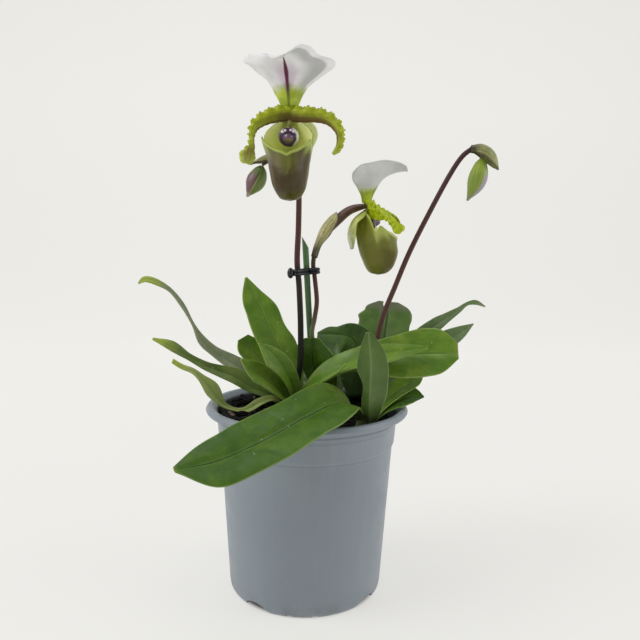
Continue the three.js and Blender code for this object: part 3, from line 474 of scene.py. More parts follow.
# Each sharp corner of a profile becomes a small arc.
def rounded(profile, radius, points=3):
    corners = [Vector((*p, 0)) for p in profile]
    soft = [profile[0]]
    for before, corner, after in zip(corners, corners[1:], corners[2:]):
        reach = min(radius, (before - corner).length * 0.4, (after - corner).length * 0.4)
        start = corner + (before - corner).normalized() * reach
        end = corner + (after - corner).normalized() * reach
        for k in range(points):
            f = k / (points - 1)
            bent = start.lerp(corner, f).lerp(corner.lerp(end, f), f)
            soft.append((bent.x, bent.y))
    return [*soft, profile[-1]]


# A profile of (radius, height) points drawn by extruding one point, then spun about the axis.
def spun(name, profile, turns):
    start = (profile[0][0] * mm, 0, profile[0][1] * mm)
    piece = added(name, bpy.ops.mesh.primitive_plane_add, size=mm, location=start)
    bpy.ops.object.transform_apply(location=True)
    bpy.ops.object.mode_set(mode="EDIT")
    bpy.ops.mesh.merge(type="CENTER")
    for (r0, z0), (r1, z1) in zip(profile, profile[1:]):
        step = {"value": ((r1 - r0) * mm, 0, (z1 - z0) * mm)}
        bpy.ops.mesh.extrude_region_move(TRANSFORM_OT_translate=step)
    bpy.ops.mesh.select_all(action="SELECT")
    bpy.ops.mesh.spin(steps=turns, angle=2 * math.pi, center=(0, 0, 0), axis=(0, 0, 1))
    bpy.ops.object.mode_set(mode="OBJECT")
    weld(piece)
    return piece


def cutBy(piece, cutter):
    modify(piece, "BOOLEAN", object=cutter, operation="DIFFERENCE", solver="EXACT")
    bpy.data.objects.remove(cutter)


def potMaterial():
    material, tree = newMaterial("potPlastic", 0.42, specular_ior_level=0.45)
    x, y, height = pointParts(tree)
    corners = []
    for line, share in pot["grooves"]:  # painted shade in the corners under the rim and the collar
        near = maths("ABSOLUTE", minus(height, line * mm))
        corners.append((fade(near, 0.8 * mm, 0.1 * mm, 0, share), rgb(70, 78, 84)))
    foot = times(fade(height, 12 * mm, 0), fade(grain(tree, 120, 5), 0.4, 0.65))
    innerLine = plus(times(height, pot["innerSlope"]), pot["innerFoot"] * mm)
    inside = fade(minus(apart(x, y), innerLine), 0.2 * mm, -0.2 * mm)
    # painted shade on the inner wall above the bark
    stain = times(inside, fade(height, pot["darkFrom"] * mm, (pot["darkFrom"] + 2) * mm))
    colour = layered(
        mixed(fade(grain(tree, 22, 4), 0.3, 0.7), rgb(133, 142, 151), rgb(139, 148, 156)),
        (fade(grain(tree, 260, 3, stretch=(1, 1, 0.03)), 0.5, 0.75, 0, 0.22), rgb(150, 157, 165)),
        *corners,
        (times(foot, 0.35), rgb(98, 98, 92)),
        (times(dotsOn(tree, 420, 0.16, 0.05), 0.4), rgb(176, 180, 182)),
        (times(stain, 0.85), rgb(34, 36, 36)),
    )
    rough = fade(grain(tree, 90, 5), 0.3, 0.7, 0.36, 0.5)
    return dress(material, colour, grain(tree, 1500, 2), 0.04, 0.35, roughness=rough)


def atFoot(degrees, out):  # a turn from the front, and its place on the pot's foot
    turn, reach = math.radians(degrees), (pot["baseRadius"] + out) * mm
    return turn, (math.sin(turn) * reach, -math.cos(turn) * reach, 0)


def makePot():
    p = pot
    outer = [(r, z) for z, r in p["wallProfile"]]
    inner = [(innerRadius(z), z) for z in (103, 90.5, 88, 5)]
    foot = [(p["baseRadius"] - p["wall"] - 1, p["floor"]), (0, p["floor"])]
    profile = rounded([(0, 0), (p["baseRadius"] - 2, 0), *outer, *p["lip"], *inner, *foot], p["round"])
    shell = spun("potShell", profile, p["turns"])
    for i in range(p["scallops"]):
        quarter = 360 / p["scallops"] * i
        turn, place = atFoot(p["firstScallop"] + quarter, 0.5)
        size = (p["scallopHalf"], p["scallopHeight"], 1)
        cutBy(shell, added("arch", bpy.ops.mesh.primitive_cylinder_add, vertices=48, radius=mm, depth=12 * mm,
                           location=place, rotation=(math.pi / 2, 0, turn), scale=size))
        for offset in p["slotTurns"]:
            turn, place = atFoot(offset + quarter, -2)
            size = (p["slotWidth"] * mm, 8 * mm, 2 * p["slotHeight"] * mm)
            cutBy(shell, added("cut", bpy.ops.mesh.primitive_cube_add, size=1, location=place,
                               rotation=(0, 0, turn), scale=size))
    hand(shell, "pot", "pot", skin=potMaterial(), angle=35)


makePot()
print("pot made")


soil = dict(top=99, heap=7.4, crumb=1.3, ring=4, edge=51.2, gap=0.3, foot=1.9,
            chips=330, reach=48.5, border=51.5, pale=16, paleSize=0.55, clear=7, patterns=4, seed=8,
            lengths=(3.5, 10), widths=(2.5, 5.5), heights=(1.4, 3.2), tilt=0.4, proud=1.6)
growths = dict(left=(-7, -1, 117), middle=(14, 15, 115), right=(41, 17, 117), front=(33, -21, 112))


def soilHeight(x, y):
    out = math.hypot(x, y)
    slope = smooth(out, 24, 48) * smooth((y - x) / (out + 1), -0.9, 0.3)
    return soil["top"] + soil["heap"] * slope + 1.2 * math.sin(0.21 * x + 1) * math.cos(0.17 * y)


def barkMaterial(name, light, dark, fleck):
    material, tree = newMaterial(name, 0.9, specular_ior_level=0.25)
    colour = layered(
        mixed(fade(grain(tree, 260, 6), 0.35, 0.65), dark, light),
        (fade(grain(tree, 900, 4), 0.6, 0.72, 0, 0.5), fleck),
    )
    return dress(material, colour, grain(tree, 620, 6), 0.5, 0.9)


def makeBed(bark):
    gap, foot = soil["gap"], soil["foot"]
    wall = [(innerRadius(z) - gap, z) for z in (6, 40, 87)]
    rings = [(r, soil["top"]) for r in (soil["edge"], *range(48, -1, -soil["ring"]))]
    profile = [(0, foot), (40, foot), (wall[0][0] - 2 * gap, 6), *wall[1:],
               (innerRadius(97) - gap, 96.4), *rings]
    bed = spun("barkBed", profile, 96)
    for vertex in bed.data.vertices:
        x, y, z = [c / mm for c in vertex.co]
        if z > soil["top"] - 1:
            crumb = soil["crumb"] * noise.fractal(Vector((x, y, 3)) * 0.22, 0.8, 2.2, 4)
            vertex.co.z = (soilHeight(x, y) + crumb * smooth(51 - math.hypot(x, y), 0, 4)) * mm
    hand(bed, "bark", "soil", skin=bark)


def chipPattern(k):  # a chip cut from a bevelled block
    chip = added("chipPattern", bpy.ops.mesh.primitive_cube_add, size=mm)
    modify(chip, "BEVEL", width=0.16 * mm, segments=1)
    modify(chip, "SUBSURF", levels=1, render_levels=1)
    for vertex in chip.data.vertices:
        vertex.co *= 1.15 + 0.5 * noise.noise(vertex.co / mm * 1.7 + Vector((9 * k, 0, 0)))
    return chip


def strewChips(patterns):  # chips lie tilted in the bark, clear of the growths and the wall
    draw = random.Random(soil["seed"])
    chips = {"barkChips": [], "barkPaleChips": []}
    while sum(len(group) for group in chips.values()) < soil["chips"] + soil["pale"]:
        reach, turn = soil["reach"] * math.sqrt(draw.random()), 2 * math.pi * draw.random()
        x, y = reach * math.cos(turn), reach * math.sin(turn)
        length, width = draw.uniform(*soil["lengths"]), draw.uniform(*soil["widths"])
        near = min(math.hypot(x - a, y - b) for a, b, _ in growths.values())
        if near < soil["clear"] or reach + length / 2 > soil["border"]:
            continue
        group = "barkPaleChips" if len(chips["barkPaleChips"]) < soil["pale"] else "barkChips"
        scale = soil["paleSize"] if group == "barkPaleChips" else 1
        size = Vector((length, width, draw.uniform(*soil["heights"]))) * scale
        copy = patterns[draw.randrange(len(patterns))].copy()
        copy.data = copy.data.copy()
        bpy.context.collection.objects.link(copy)
        tilt = [Matrix.Rotation(draw.uniform(-soil["tilt"], soil["tilt"]), 4, axis) for axis in "XY"]
        place = Matrix.Translation(Vector((x, y, soilHeight(x, y) + draw.uniform(0, soil["proud"]))) * mm)
        spin = Matrix.Rotation(draw.uniform(0, math.pi), 4, "Z")
        copy.data.transform(place @ spin @ tilt[0] @ tilt[1] @ Matrix.Diagonal((*size, 1)))
        chips[group].append(copy)
    return chips


def makeSoil():
    # the bark is near-black: its own dark colour, darkened further as painted shade under the leaves
    bark = barkMaterial("barkDark", rgb(15, 12, 10), rgb(6, 5, 4), rgb(44, 34, 27))
    pale = barkMaterial("barkPale", rgb(126, 112, 94), rgb(84, 72, 58), rgb(160, 148, 130))
    makeBed(bark)
    patterns = [chipPattern(k) for k in range(soil["patterns"])]
    for name, group in strewChips(patterns).items():
        piece = joined(group)
        piece.name = name
        hand(piece, "bark", skin=pale if name == "barkPaleChips" else bark, angle=40)
    for pattern in patterns:
        bpy.data.objects.remove(pattern)


makeSoil()
print("bark made")


crown = dict(outline=((0, 4.6), (0.26, 6), (0.55, 5.5), (1, 3.8)), foot=90)

# Greens of the leaves: fresh and older upper sides, dull ones, dark ones that are painted shade
# on the leaves at the back, the grey undersides, and the narrow leaves whose tips yellow.
# On the upper sides, Midrib is painted shade in the midrib groove.
leafColours = dict(
    fresh=dict(Base=rgb(110, 145, 44), Deep=rgb(86, 123, 33), Lime=rgb(140, 161, 56),
               Midrib=rgb(80, 116, 32), Margin=rgb(148, 170, 84), Foot=rgb(126, 146, 70),
               Tip=rgb(160, 168, 70)),
    mid=dict(Base=rgb(73, 108, 20), Deep=rgb(54, 90, 14), Lime=rgb(90, 124, 24), Midrib=rgb(26, 52, 8),
             Margin=rgb(118, 148, 66), Foot=rgb(116, 136, 62), Tip=rgb(130, 146, 60)),
    # painted shade: the leaves at the back, darker still at their foot
    dark=dict(Base=rgb(72, 104, 36), Deep=rgb(48, 78, 26), Lime=rgb(88, 118, 40), Midrib=rgb(40, 66, 22),
              Margin=rgb(98, 126, 62), Foot=rgb(46, 64, 28), Tip=rgb(122, 128, 66)),
    dull=dict(Base=rgb(114, 144, 76), Deep=rgb(92, 124, 58), Lime=rgb(124, 150, 80), Midrib=rgb(74, 98, 54),
              Margin=rgb(126, 144, 100), Foot=rgb(84, 112, 42), Tip=rgb(120, 130, 100), Reach=0.72),
    grey=dict(Base=rgb(116, 138, 92), Deep=rgb(96, 122, 72), Lime=rgb(126, 150, 96),
              Midrib=rgb(86, 106, 70), Margin=rgb(136, 152, 114), Foot=rgb(86, 112, 48),
              Tip=rgb(128, 138, 96), Reach=0.75),
    strap=dict(Base=rgb(108, 126, 66), Deep=rgb(84, 110, 44), Lime=rgb(118, 138, 62),
               Midrib=rgb(76, 98, 36), Margin=rgb(126, 144, 82), Foot=rgb(74, 104, 20),
               Tip=rgb(156, 174, 66), Reach=0.72),
    yellow=dict(Base=rgb(166, 180, 108), Deep=rgb(138, 156, 82), Lime=rgb(180, 194, 122),
                Midrib=rgb(112, 128, 58), Margin=rgb(152, 166, 96), Foot=rgb(92, 102, 48),
                Tip=rgb(158, 178, 66), Reach=0.74),
    curl=dict(Base=rgb(140, 150, 114), Deep=rgb(116, 130, 98), Lime=rgb(162, 168, 130),
              Midrib=rgb(104, 118, 86), Margin=rgb(156, 164, 128), Foot=rgb(66, 90, 70),
              Tip=rgb(150, 168, 66), Reach=0.6),
    shade=dict(Base=rgb(56, 84, 34), Deep=rgb(40, 66, 24), Lime=rgb(62, 90, 38), Midrib=rgb(72, 98, 48),
               Margin=rgb(76, 100, 48), Foot=rgb(52, 70, 32), Tip=rgb(96, 110, 56)),
    under=dict(Base=rgb(88, 114, 54), Deep=rgb(76, 102, 44), Lime=rgb(98, 124, 58),
               Midrib=rgb(122, 146, 92), Margin=rgb(126, 148, 92), Foot=rgb(120, 132, 82),
               Tip=rgb(140, 150, 90)),
)


def leafMaterial(name, colours):
    material, tree = newMaterial(name, 0.38, soft=(0.1, 1.2), specular_ior_level=0.3)
    skin = useGroup(tree, leafSkin, **colours)
    return dress(material, skin["Colour"], skin["Height"], 0.14, 0.55, roughness=skin["Rough"])


leafMaterials = {name: leafMaterial("leaf" + name.title(), colours) for name, colours in leafColours.items()}

# What a leaf doesn't say of itself. `left` and `right` are the shares of half its width along it.
leafForm = dict(across=24, steps=52, thickness=0.8, channel=0.4, belly=0.55, ripple=0.25, uneven=0.02,
                least=0.45, wave=0, waves=1, nick=0, finish="mid", back="under")
leaves = dict(
    leaf_tall=dict(width=24, wave=0.6, waves=1.5, finish="fresh",
         left=(0.34, 0.7, 0.9, 0.95, 0.95, 0.86, 0.68, 0.05),
         right=(0.34, 0.5, 0.65, 0.95, 0.82, 0.8, 0.4, 0.05),
         spine=((-8, 1, 113), (-10, 4, 130), (-20.5, 8, 148), (-29.6, 14, 167), (-38.6, 20, 184.5)),
         face=((0.8, -1, 0.5), (0.3, -1, 0.5), (0.1, -1, 0.7)), fold=(30, 14, 8)),
    leaf_tall_behind=dict(width=17, wave=0.4, waves=1, finish="fresh",
         left=(0.4, 0.7, 0.9, 1, 1.05, 1.1, 1.05, 0.65), right=(0.4, 0.7, 0.9, 1, 1, 0.9, 0.7, 0.3),
         spine=((-9, 2, 110), (-16, 6, 120), (-25, 10, 131), (-34, 13, 141), (-39, 14, 148.6)),
         face=((0.5, -1, 0.8), (0.3, -1, 0.7)), fold=(26, 12, 8)),
    leaf_left_front=dict(width=17, wave=0.3, waves=1, finish="fresh",
         left=(0.4, 0.6, 0.7, 0.75, 0.82, 0.8, 0.5, 0.03), right=(0.4, 0.7, 0.95, 1, 0.95, 0.8, 0.5, 0.03),
         spine=((-9, -4, 110), (-15, -9, 118), (-22, -13, 126), (-30, -16, 133), (-38, -18, 140)),
         face=((0.5, -0.6, 1), (0.3, -1, 0.8)), fold=(24, 12, 6)),
    leaf_left_narrow=dict(width=15, finish="fresh",
         left=(0.4, 0.6, 0.7, 0.85, 1.1, 1.25, 0.85, 0.04), right=(0.4, 0.7, 0.8, 0.85, 0.8, 0.6, 0.35, 0.04),
         spine=((-7, -4, 114), (-10, -8, 125), (-15, -11, 135), (-21, -13, 143), (-28, -16, 149)),
         face=((0.8, -1, 0.4), (0.4, -1, 0.7)), fold=(30, 18, 14)),
    leaf_left_long=dict(width=12, wave=0.5, waves=2, finish="strap", steps=84,
         left=(0.5, 0.65, 0.75, 0.8, 0.65, 0.55, 0.4, 0.5, 0.15),
         right=(0.5, 0.8, 1, 1, 0.7, 0.4, 0.35, 0.7, 0.15),
         spine=((-11, -1, 107), (-23, -2, 116), (-33, -2, 120.6), (-42, -2, 126), (-51, -2, 129.4),
                (-60, -3, 133.4), (-70, -4, 138.9), (-80, -6, 145), (-90, -8, 149.6)),
         face=((0.3, -0.7, 1), (0.1, -1, 0.7), (0.2, -0.6, 1)), fold=(24, 16, 10)),
    leaf_left_drooping=dict(width=9, wave=0.3, waves=2, finish="yellow", steps=84,
         left=(0.5, 0.6, 0.6, 0.3, 0.5, 1, 0.4, 0.3, 0.35),
         right=(0.5, 0.6, 0.6, 0.25, 0.4, 1.05, 0.5, 0.4, 0.35),
         spine=((-9, -5, 107), (-19, -9, 114.6), (-27, -11, 113.6), (-35, -14, 109.8), (-42, -16, 110.6),
                (-48, -18, 114), (-53, -20, 121), (-58, -21, 127.4), (-64, -22, 133.2), (-70, -24, 136.3),
                (-75, -26, 140)),
         face=((0, 0, 1), (0.3, -0.7, 1), (0.5, -0.9, 0.5), (0.4, -0.9, 0.5), (0, -0.7, 1)),
         fold=(20, 16, 10)),
    leaf_centre_narrow=dict(width=9, finish="fresh",
         left=(0.5, 0.8, 0.9, 0.9, 0.8, 0.6, 0.4, 0.03),
         spine=((-5, -5, 112), (2, -11, 123), (9, -16, 129.4), (15, -19, 133.6), (21.5, -21, 138.4)),
         face=((-0.3, -0.6, 1), (-0.2, -1, 0.8)), fold=(28, 18, 12)),
    leaf_centre_long=dict(width=15, wave=0.4, waves=2, finish="fresh",
         left=(0.36, 0.7, 0.95, 1, 0.95, 0.8, 0.5, 0.1), right=(0.36, 0.7, 0.95, 1, 1.1, 1.1, 0.6, 0.1),
         spine=((-3, -3, 115), (11, -9, 131), (29, -14, 140), (48, -17, 145), (68, -19, 148)),
         face=((-0.4, -0.7, 1), (0, -0.9, 0.9)), fold=(26, 16, 12)),
    leaf_big_right=dict(width=28, wave=0.6, waves=2, finish="fresh",
         left=(0.3, 0.32, 0.35, 0.43, 0.5, 0.47, 0.45, 0.57, 0.7, 0.78, 0.86, 1, 1.1, 1.02, 0.4),
         right=(0.3, 0.3, 0.3, 0.3, 0.3, 0.36, 0.45, 0.65, 0.85, 1, 1.1, 1.12, 1.08, 0.9, 0.26),
         spine=((-3, -2, 108), (5, -6, 123.6), (22, -8.5, 136.3), (41, -9, 140.3), (62, -9, 143),
                (87, -12, 144)),
         face=((-0.5, -0.7, 0.9), (-0.3, -1, 0.6), (0, -1, 0.7)), fold=(24, 12, 6)),
    leaf_curl=dict(width=11, finish="curl", steps=84,
         left=(0.5, 0.8, 1, 1, 0.65, 0.8, 0.25, 0.45, 0.35, 0.62, 0.5, 0.06),
         right=(0.5, 0.8, 1, 1, 0.8, 0.66, 0.25, 0.45, 0.35, 0.4, 0.4, 0.06),
         spine=((-9, 1, 106), (-21, 6, 117), (-33, 9, 126), (-46, 11, 132.6), (-57, 12, 138.6),
                (-65, 13, 146), (-70.6, 13, 156.4), (-76.8, 14, 167), (-83.8, 14, 176), (-91.5, 13, 181.2),
                (-98, 11, 183), (-102, 9, 180.6)),
         face=((0, 0, 1), (0.2, -0.7, 0.7), (0.7, -0.6, 0.6), (1, -0.3, 0.5), (0.6, -0.5, 0.8),
               (-0.1, -0.7, 1)),
         fold=(18, 10, 8)),
    leaf_middle_upright=dict(width=19,
         left=(0.4, 0.6, 0.7, 0.7, 0.75, 0.8, 0.8, 0.5), right=(0.4, 0.8, 1.2, 1.5, 1.7, 1.55, 1.05, 0.45),
         spine=((13, 13, 110), (9, 9, 120.6), (3.6, 5, 131.6), (2.6, 2, 141.2), (2.4, 0.6, 150.4)),
         face=((-0.2, -1, 0.2), (-0.1, -1, 0.3)), fold=(30, 22, 16)),
    leaf_middle_back=dict(width=24, wave=0.8, waves=2, finish="dark", back="shade",
         left=(0.8, 1.25, 1.3, 1.25, 1.3, 1.35, 0.95, 0.2), right=(0.36, 0.7, 0.95, 1, 0.7, 0.42, 0.38, 0.1),
         spine=((36, 20, 110), (34, 24, 133), (28.2, 28, 146.4), (17.2, 31, 148.6), (6, 33, 148)),
         face=((-0.5, -1, 0.6), (-0.3, -1, 0.6)), fold=(20, 10, 6)),
    leaf_right_broad=dict(width=32, nick=0.14, wave=0.8, waves=2, finish="dull",
         left=(0.34, 0.5, 0.7, 0.95, 1.2, 1.27, 1.3, 1.26, 1.2, 1.14, 1.12, 1.18, 0.96, 0.86, 0.4),
         right=(0.34, 0.45, 0.6, 0.74, 0.85, 0.94, 1, 1, 1, 0.96, 0.95, 1, 0.98, 0.8, 0.4),
         spine=((42, 21, 112), (47, 29, 128), (49, 35, 143), (51, 38, 157), (52, 40, 169)),
         face=((-0.2, -1, 0.4), (-0.1, -1, 0.3), (0, -1, 0.5)), fold=(26, 12, 6)),
    leaf_right_thin=dict(width=14, finish="grey", steps=84,
         left=(0.4, 0.7, 0.75, 0.67, 0.45, 0.28, 0.17, 0.27, 0.04),
         right=(0.4, 0.5, 0.5, 0.64, 0.45, 0.28, 0.17, 0.27, 0.04),
         spine=((45, 18, 109), (54, 23, 127), (68.4, 27, 145), (81.2, 30, 155), (89, 32, 160),
                (96.6, 35, 164.4), (103, 38, 168.4), (109, 39, 169.2), (115, 39, 166.8)),
         face=((-0.6, -0.8, 0.6), (-0.4, -1, 0.3), (-0.2, -0.6, 1)), fold=(26, 12, 8)),
    leaf_right_short=dict(width=14, finish="grey",
         left=(0.4, 0.7, 0.95, 1, 1.2, 1.05, 0.6, 0.04), right=(0.4, 0.7, 0.95, 1, 0.95, 0.85, 0.6, 0.04),
         spine=((46, 15, 107), (58, 15, 122), (73, 16, 136), (89, 19, 148), (104, 24, 157)),
         face=((-0.4, -0.8, 0.8), (-0.3, -1, 0.5)), fold=(26, 14, 10)),
    leaf_front_upright=dict(width=19,
         left=(0.6, 0.7, 0.85, 1.1, 1.12, 1.08, 0.85, 0.15),
         right=(0.6, 0.6, 0.5, 0.45, 0.42, 0.82, 0.64, 0.15),
         spine=((34, -25, 104), (34, -33, 113), (33.6, -39, 126), (33.7, -42, 142), (32, -41, 159.5)),
         face=((0.1, 1, 0.3), (0, 1, 0), (0, 1, -0.1)), fold=(34, 22, 16)),
    leaf_right_low=dict(width=17, finish="fresh",
         left=(0.4, 0.7, 0.8, 0.8, 0.8, 0.7, 0.5, 0.03), right=(0.4, 0.5, 0.55, 0.55, 0.55, 0.57, 0.5, 0.03),
         spine=((36, -19, 106), (42.7, -14, 113.4), (51.6, -7, 119), (61.2, -1, 124), (70, 3, 129.4)),
         face=((-0.3, -0.8, 0.8), (-0.4, -1, 0.4)), fold=(26, 14, 8)),
    leaf_right_lowest=dict(width=16, wave=0.5, waves=1,
         left=(0.4, 0.7, 0.95, 1, 1, 1, 0.7, 0.04), right=(0.4, 0.6, 0.8, 0.85, 0.75, 0.6, 0.35, 0.04),
         spine=((37, -17.6, 105.4), (46, -13, 112), (55, -9, 115.4), (62, -7, 117), (69, -5.6, 116.6)),
         face=((-0.2, -0.5, 1), (-0.2, -0.8, 1)), fold=(22, 12, 6)),
    leaf_front_large=dict(width=31, wave=0.7, waves=2,
         left=(0.34, 0.7, 1.15, 1.15, 1.1, 1, 0.9, 0.1), right=(0.34, 1, 1.1, 1, 1, 0.92, 0.7, 0.1),
         spine=((29, -23, 107), (18, -34, 119), (0, -55, 117), (-20, -74, 110.4), (-41, -90, 104.8),
                (-59, -102, 104.2)),
         face=((0, -0.2, 1), (0, -0.6, 1), (0.1, -0.8, 1)), fold=(24, 8, 4)),
    leaf_back_left=dict(width=24, wave=0.8, waves=2, finish="dark", back="shade",
         left=(0.36, 0.6, 0.85, 1, 1, 0.9, 0.6, 0.1),
         spine=((11, 18, 105), (2, 31, 115), (-10, 46, 118), (-24, 62, 117), (-38, 76, 110)),
         face=((0, 0, 1), (0, 0.1, 1)), fold=(24, 10, 6)),
    leaf_back_right=dict(width=22, wave=0.6, waves=2, finish="dark", back="shade",
         left=(0.36, 0.6, 0.85, 1, 1, 0.9, 0.6, 0.1),
         spine=((16, 19, 109), (19, 32, 120), (23, 46, 126), (28, 61, 126), (35, 76, 119)),
         face=((0, 0, 1), (0, 0.1, 1)), fold=(24, 10, 6)),
    leaf_back_far_right=dict(width=20, wave=0.5, waves=2, finish="dark", back="shade",
         left=(0.36, 0.6, 0.85, 1, 0.95, 0.8, 0.5, 0.05),
         spine=((45, 21, 106), (54, 31, 118), (65, 42, 123), (77, 52, 123.4), (88, 60, 120)),
         face=((0, 0, 1), (0, 0, 1)), fold=(22, 10, 6)),
    leaf_back_upright=dict(width=16, wave=0.3, waves=1, finish="dark", back="shade",
         left=(0.36, 0.6, 0.85, 1, 0.9, 0.7, 0.4, 0.04),
         spine=((13, 18, 112), (8, 27, 124), (2, 36, 132), (-4, 44, 137), (-12, 52, 138)),
         face=((0.3, -0.4, 1), (0.2, -0.3, 1)), fold=(28, 14, 8)),
)


def makeLeaf(name, leaf):
    spine, width, left = leaf["spine"], leaf["width"], leaf["left"]
    right = leaf.get("right", left)
    shift = len(name) * 3.7 + width  # its own place in the noise

    def half(t, v):
        uneven = 1 + leaf["uneven"] * noise.noise(Vector((9 * t, shift, 4 if v > 0 else 8)))
        return max(leaf["least"], width / 2 * through(left if v < 0 else right, t) * uneven)

    def rise(t, v):
        wave = leaf["wave"] * math.sin(2 * math.pi * leaf["waves"] * t + (0 if v > 0 else 1.3)) * v * v
        share = half(t, v) / 12
        belly = leaf["belly"] * share * math.sin(math.pi * abs(v))
        ripple = leaf["ripple"] * share * noise.noise(Vector((2.4 * v, 14 * t, shift))) * (0.3 + v * v)
        return wave + belly + ripple - leaf["channel"] * share * bump(v, 0, 0.07)

    shape = bladeShape(spine, leaf["face"], half, leaf["fold"], rise, 1.4, 0.08)

    def nicked(v, t):  # a notch in the tip, where the leaf has one
        return shape(v, t - leaf["nick"] * bump(v, -0.2, 0.2) * smooth(t, 0.6, 1))

    piece = blade(camel(name), nicked, leaf, leafMaterials[leaf["finish"]], leafMaterials[leaf["back"]])
    hand(piece, "leaf", name)


# The sheaths go from brown at the foot to green, their own colours darkened further as painted shade among
# the leaf bases.
def crownMaterial():
    material, tree = newMaterial("growthSheath", 0.5)
    lines, lengthways = linesOn(tree, 9, 0.8, 2), useGroup(tree, bladePlace)["Along"]
    stops = [(0, rgb(52, 40, 26)), (0.4, rgb(78, 70, 40)), (0.6, rgb(84, 96, 48)), (1, rgb(80, 106, 46))]
    colour = mixed(times(lines, 0.3), ramp(lengthways, stops), rgb(150, 150, 96))
    return dress(material, colour, lines, 0.25, 0.7)


def makeCrowns():
    def radius(t, angle):
        ribs = 0.05 * math.cos(2 * angle + 9 * t) + 0.02 * math.cos(7 * angle)
        return along(crown["outline"], t) * (1 + ribs)

    material, foot = crownMaterial(), crown["foot"]
    for name, (x, y, top) in growths.items():
        spine = ((x, y, foot), (x, y, (foot + top) / 2), (x, y, top))
        piece = rolled(camel("crown_" + name), spine, radius, 32, 20)
        hand(piece, "leaf", "crown_" + name, skin=material)


makeCrowns()
for name, leaf in leaves.items():
    makeLeaf(name, {**leafForm, **leaf})
print("leaves made")


# A stalk's colours go from its foot to its top, over the heights of its span.
stalks = dict(
    scape_main=dict(
        radius=(1.8, 1.55), span=(117, 252), speck=rgb(106, 66, 60),
        # the main stalk's near-black lower part is painted shade among the leaves
        colours=((0, rgb(14, 16, 12)), (0.15, rgb(14, 15, 11)), (0.35, rgb(32, 25, 20)),
                 (0.52, rgb(48, 36, 29)), (0.58, rgb(80, 46, 44)), (0.85, rgb(88, 52, 48)),
                 (1, rgb(70, 42, 40))),
        spine=((-7, -1, 117.4), (-4.4, -2.5, 136), (-4.4, -3.2, 158), (-5.6, -4, 181), (-6.9, -4.6, 196),
               (-6.3, -6.5, 215), (-6.2, -10, 236), (-7.2, -15, 252))),
    scape_side=dict(
        radius=(1.45, 1.3), span=(115, 207), speck=rgb(116, 80, 72),
        colours=((0, rgb(104, 112, 78)), (0.42, rgb(110, 116, 84)), (0.58, rgb(100, 62, 56)),
                 (0.75, rgb(90, 54, 50)), (0.84, rgb(66, 56, 34)), (1, rgb(92, 86, 50))),
        spine=((14, 15, 115.4), (13.4, 14.2, 121), (7, 8.4, 136), (2.4, 3.8, 151), (3.8, 3.2, 162),
               (4.9, 2.6, 172), (3.6, 2.2, 185), (2.5, 2.2, 194), (3.6, 3.4, 201), (6, 6, 206.6))),
    scape_bud=dict(
        radius=(1.65, 1.45), span=(117, 263), speck=rgb(120, 82, 76),
        colours=((0, rgb(92, 92, 56)), (0.25, rgb(96, 66, 56)), (0.6, rgb(86, 54, 50)), (1, rgb(72, 46, 44))),
        spine=((41, 17, 117.4), (41.6, 16, 135), (45, 14.6, 159), (52.7, 13, 181), (60.5, 10.4, 202),
               (70.5, 8, 224), (81.5, 8, 245.6), (89, 8, 257.6), (95.4, 8, 263))),
)
cane = dict(radius=1.8, foot=(5.2, 14, 90), top=(-2.6, 0.8, 210), slant=59)


# Downy skin, with short hairs that catch the light.
def stalkMaterial(name, span, colours, speck):
    material, tree = newMaterial(name, 0.55, sheen_weight=0.06, sheen_roughness=0.4, specular_ior_level=0.3)
    low, high = span
    height = {"Value": pointParts(tree)[2], "From Min": low * mm, "From Max": high * mm}
    share = addNode(tree, "ShaderNodeMapRange", height).outputs[0]
    colour = layered(
        ramp(plus(share, sway(grain(tree, 180, 3), 0.2)), colours),
        (times(dotsOn(tree, 1500, 0.24, 0.4), 0.6), speck),
    )
    return dress(material, colour, grain(tree, 2600, 3, stretch=(1, 1, 0.4)), 0.16, 0.7)


def makeStalks():
    for name, stalk in stalks.items():
        thick, thin = stalk["radius"]

        def radius(t, angle):
            return lerp(thick, thin, t) * (1 + 0.02 * math.cos(5 * angle + 8 * t))

        piece = rolled(camel(name), stalk["spine"], radius, 20, 90)
        look = [stalk[key] for key in ("span", "colours", "speck")]
        hand(piece, "stalk", name, skin=stalkMaterial(camel(name).replace("scape", "stalk"), *look))


# The support cane, with its top cut on the slant.
def makeCane():
    material, tree = newMaterial("caneGreen", 0.42)
    lines = linesOn(tree, 6, 0.6, 3)
    colour = layered(
        mixed(fade(grain(tree, 90, 4, stretch=(1, 1, 0.2)), 0.35, 0.65), rgb(58, 94, 52), rgb(80, 116, 66)),
        (times(lines, 0.35), rgb(96, 126, 74)),
    )
    dress(material, colour, lines, 0.12, 0.5)
    piece = rolled("supportCane", (cane["foot"], cane["top"]), lambda t, angle: cane["radius"], 28, 40)
    x, y, z = cane["top"]
    place = Vector((x - cane["radius"], y, z)) * mm
    way = Matrix.Rotation(math.radians(cane["slant"]), 3, "Y") @ Vector((0, 0, 1))
    alone(piece)
    bpy.ops.object.mode_set(mode="EDIT")
    bpy.ops.mesh.select_all(action="SELECT")
    bpy.ops.mesh.bisect(plane_co=place, plane_no=way, use_fill=True, clear_outer=True)
    bpy.ops.object.mode_set(mode="OBJECT")
    hand(piece, "cane", "cane", skin=material, angle=40)


# The clip: two strands that run round the stalk and on round the cane and the side stalk, and
# a knob to squeeze.
clip = dict(height=189.6, tilt=4.5, strand=1.05, pitch=0.86,
            stalk=(-6.4, -4.3), cane=(-1.2, 2.8), side=(3.1, 2.2),
            knob=(-10.6, -7), knobSize=(1.9, 2.2, 3.1), neck=(0.45, 0.7, 1), neckSize=1.9, waist=0.3,
            eye=2.6, wideEye=0.3,
            way=(("side", -110, -50, 10, 60), ("cane", 70, 110),
                 ("stalk", 120, 170, 220, 270), ("cane", -70)))


def clipPoint(x, y, z):
    turn = Matrix.Rotation(math.radians(-clip["tilt"]), 3, "Y")
    return turn @ Vector((x, y, z)) + Vector((0, 0, clip["height"]))


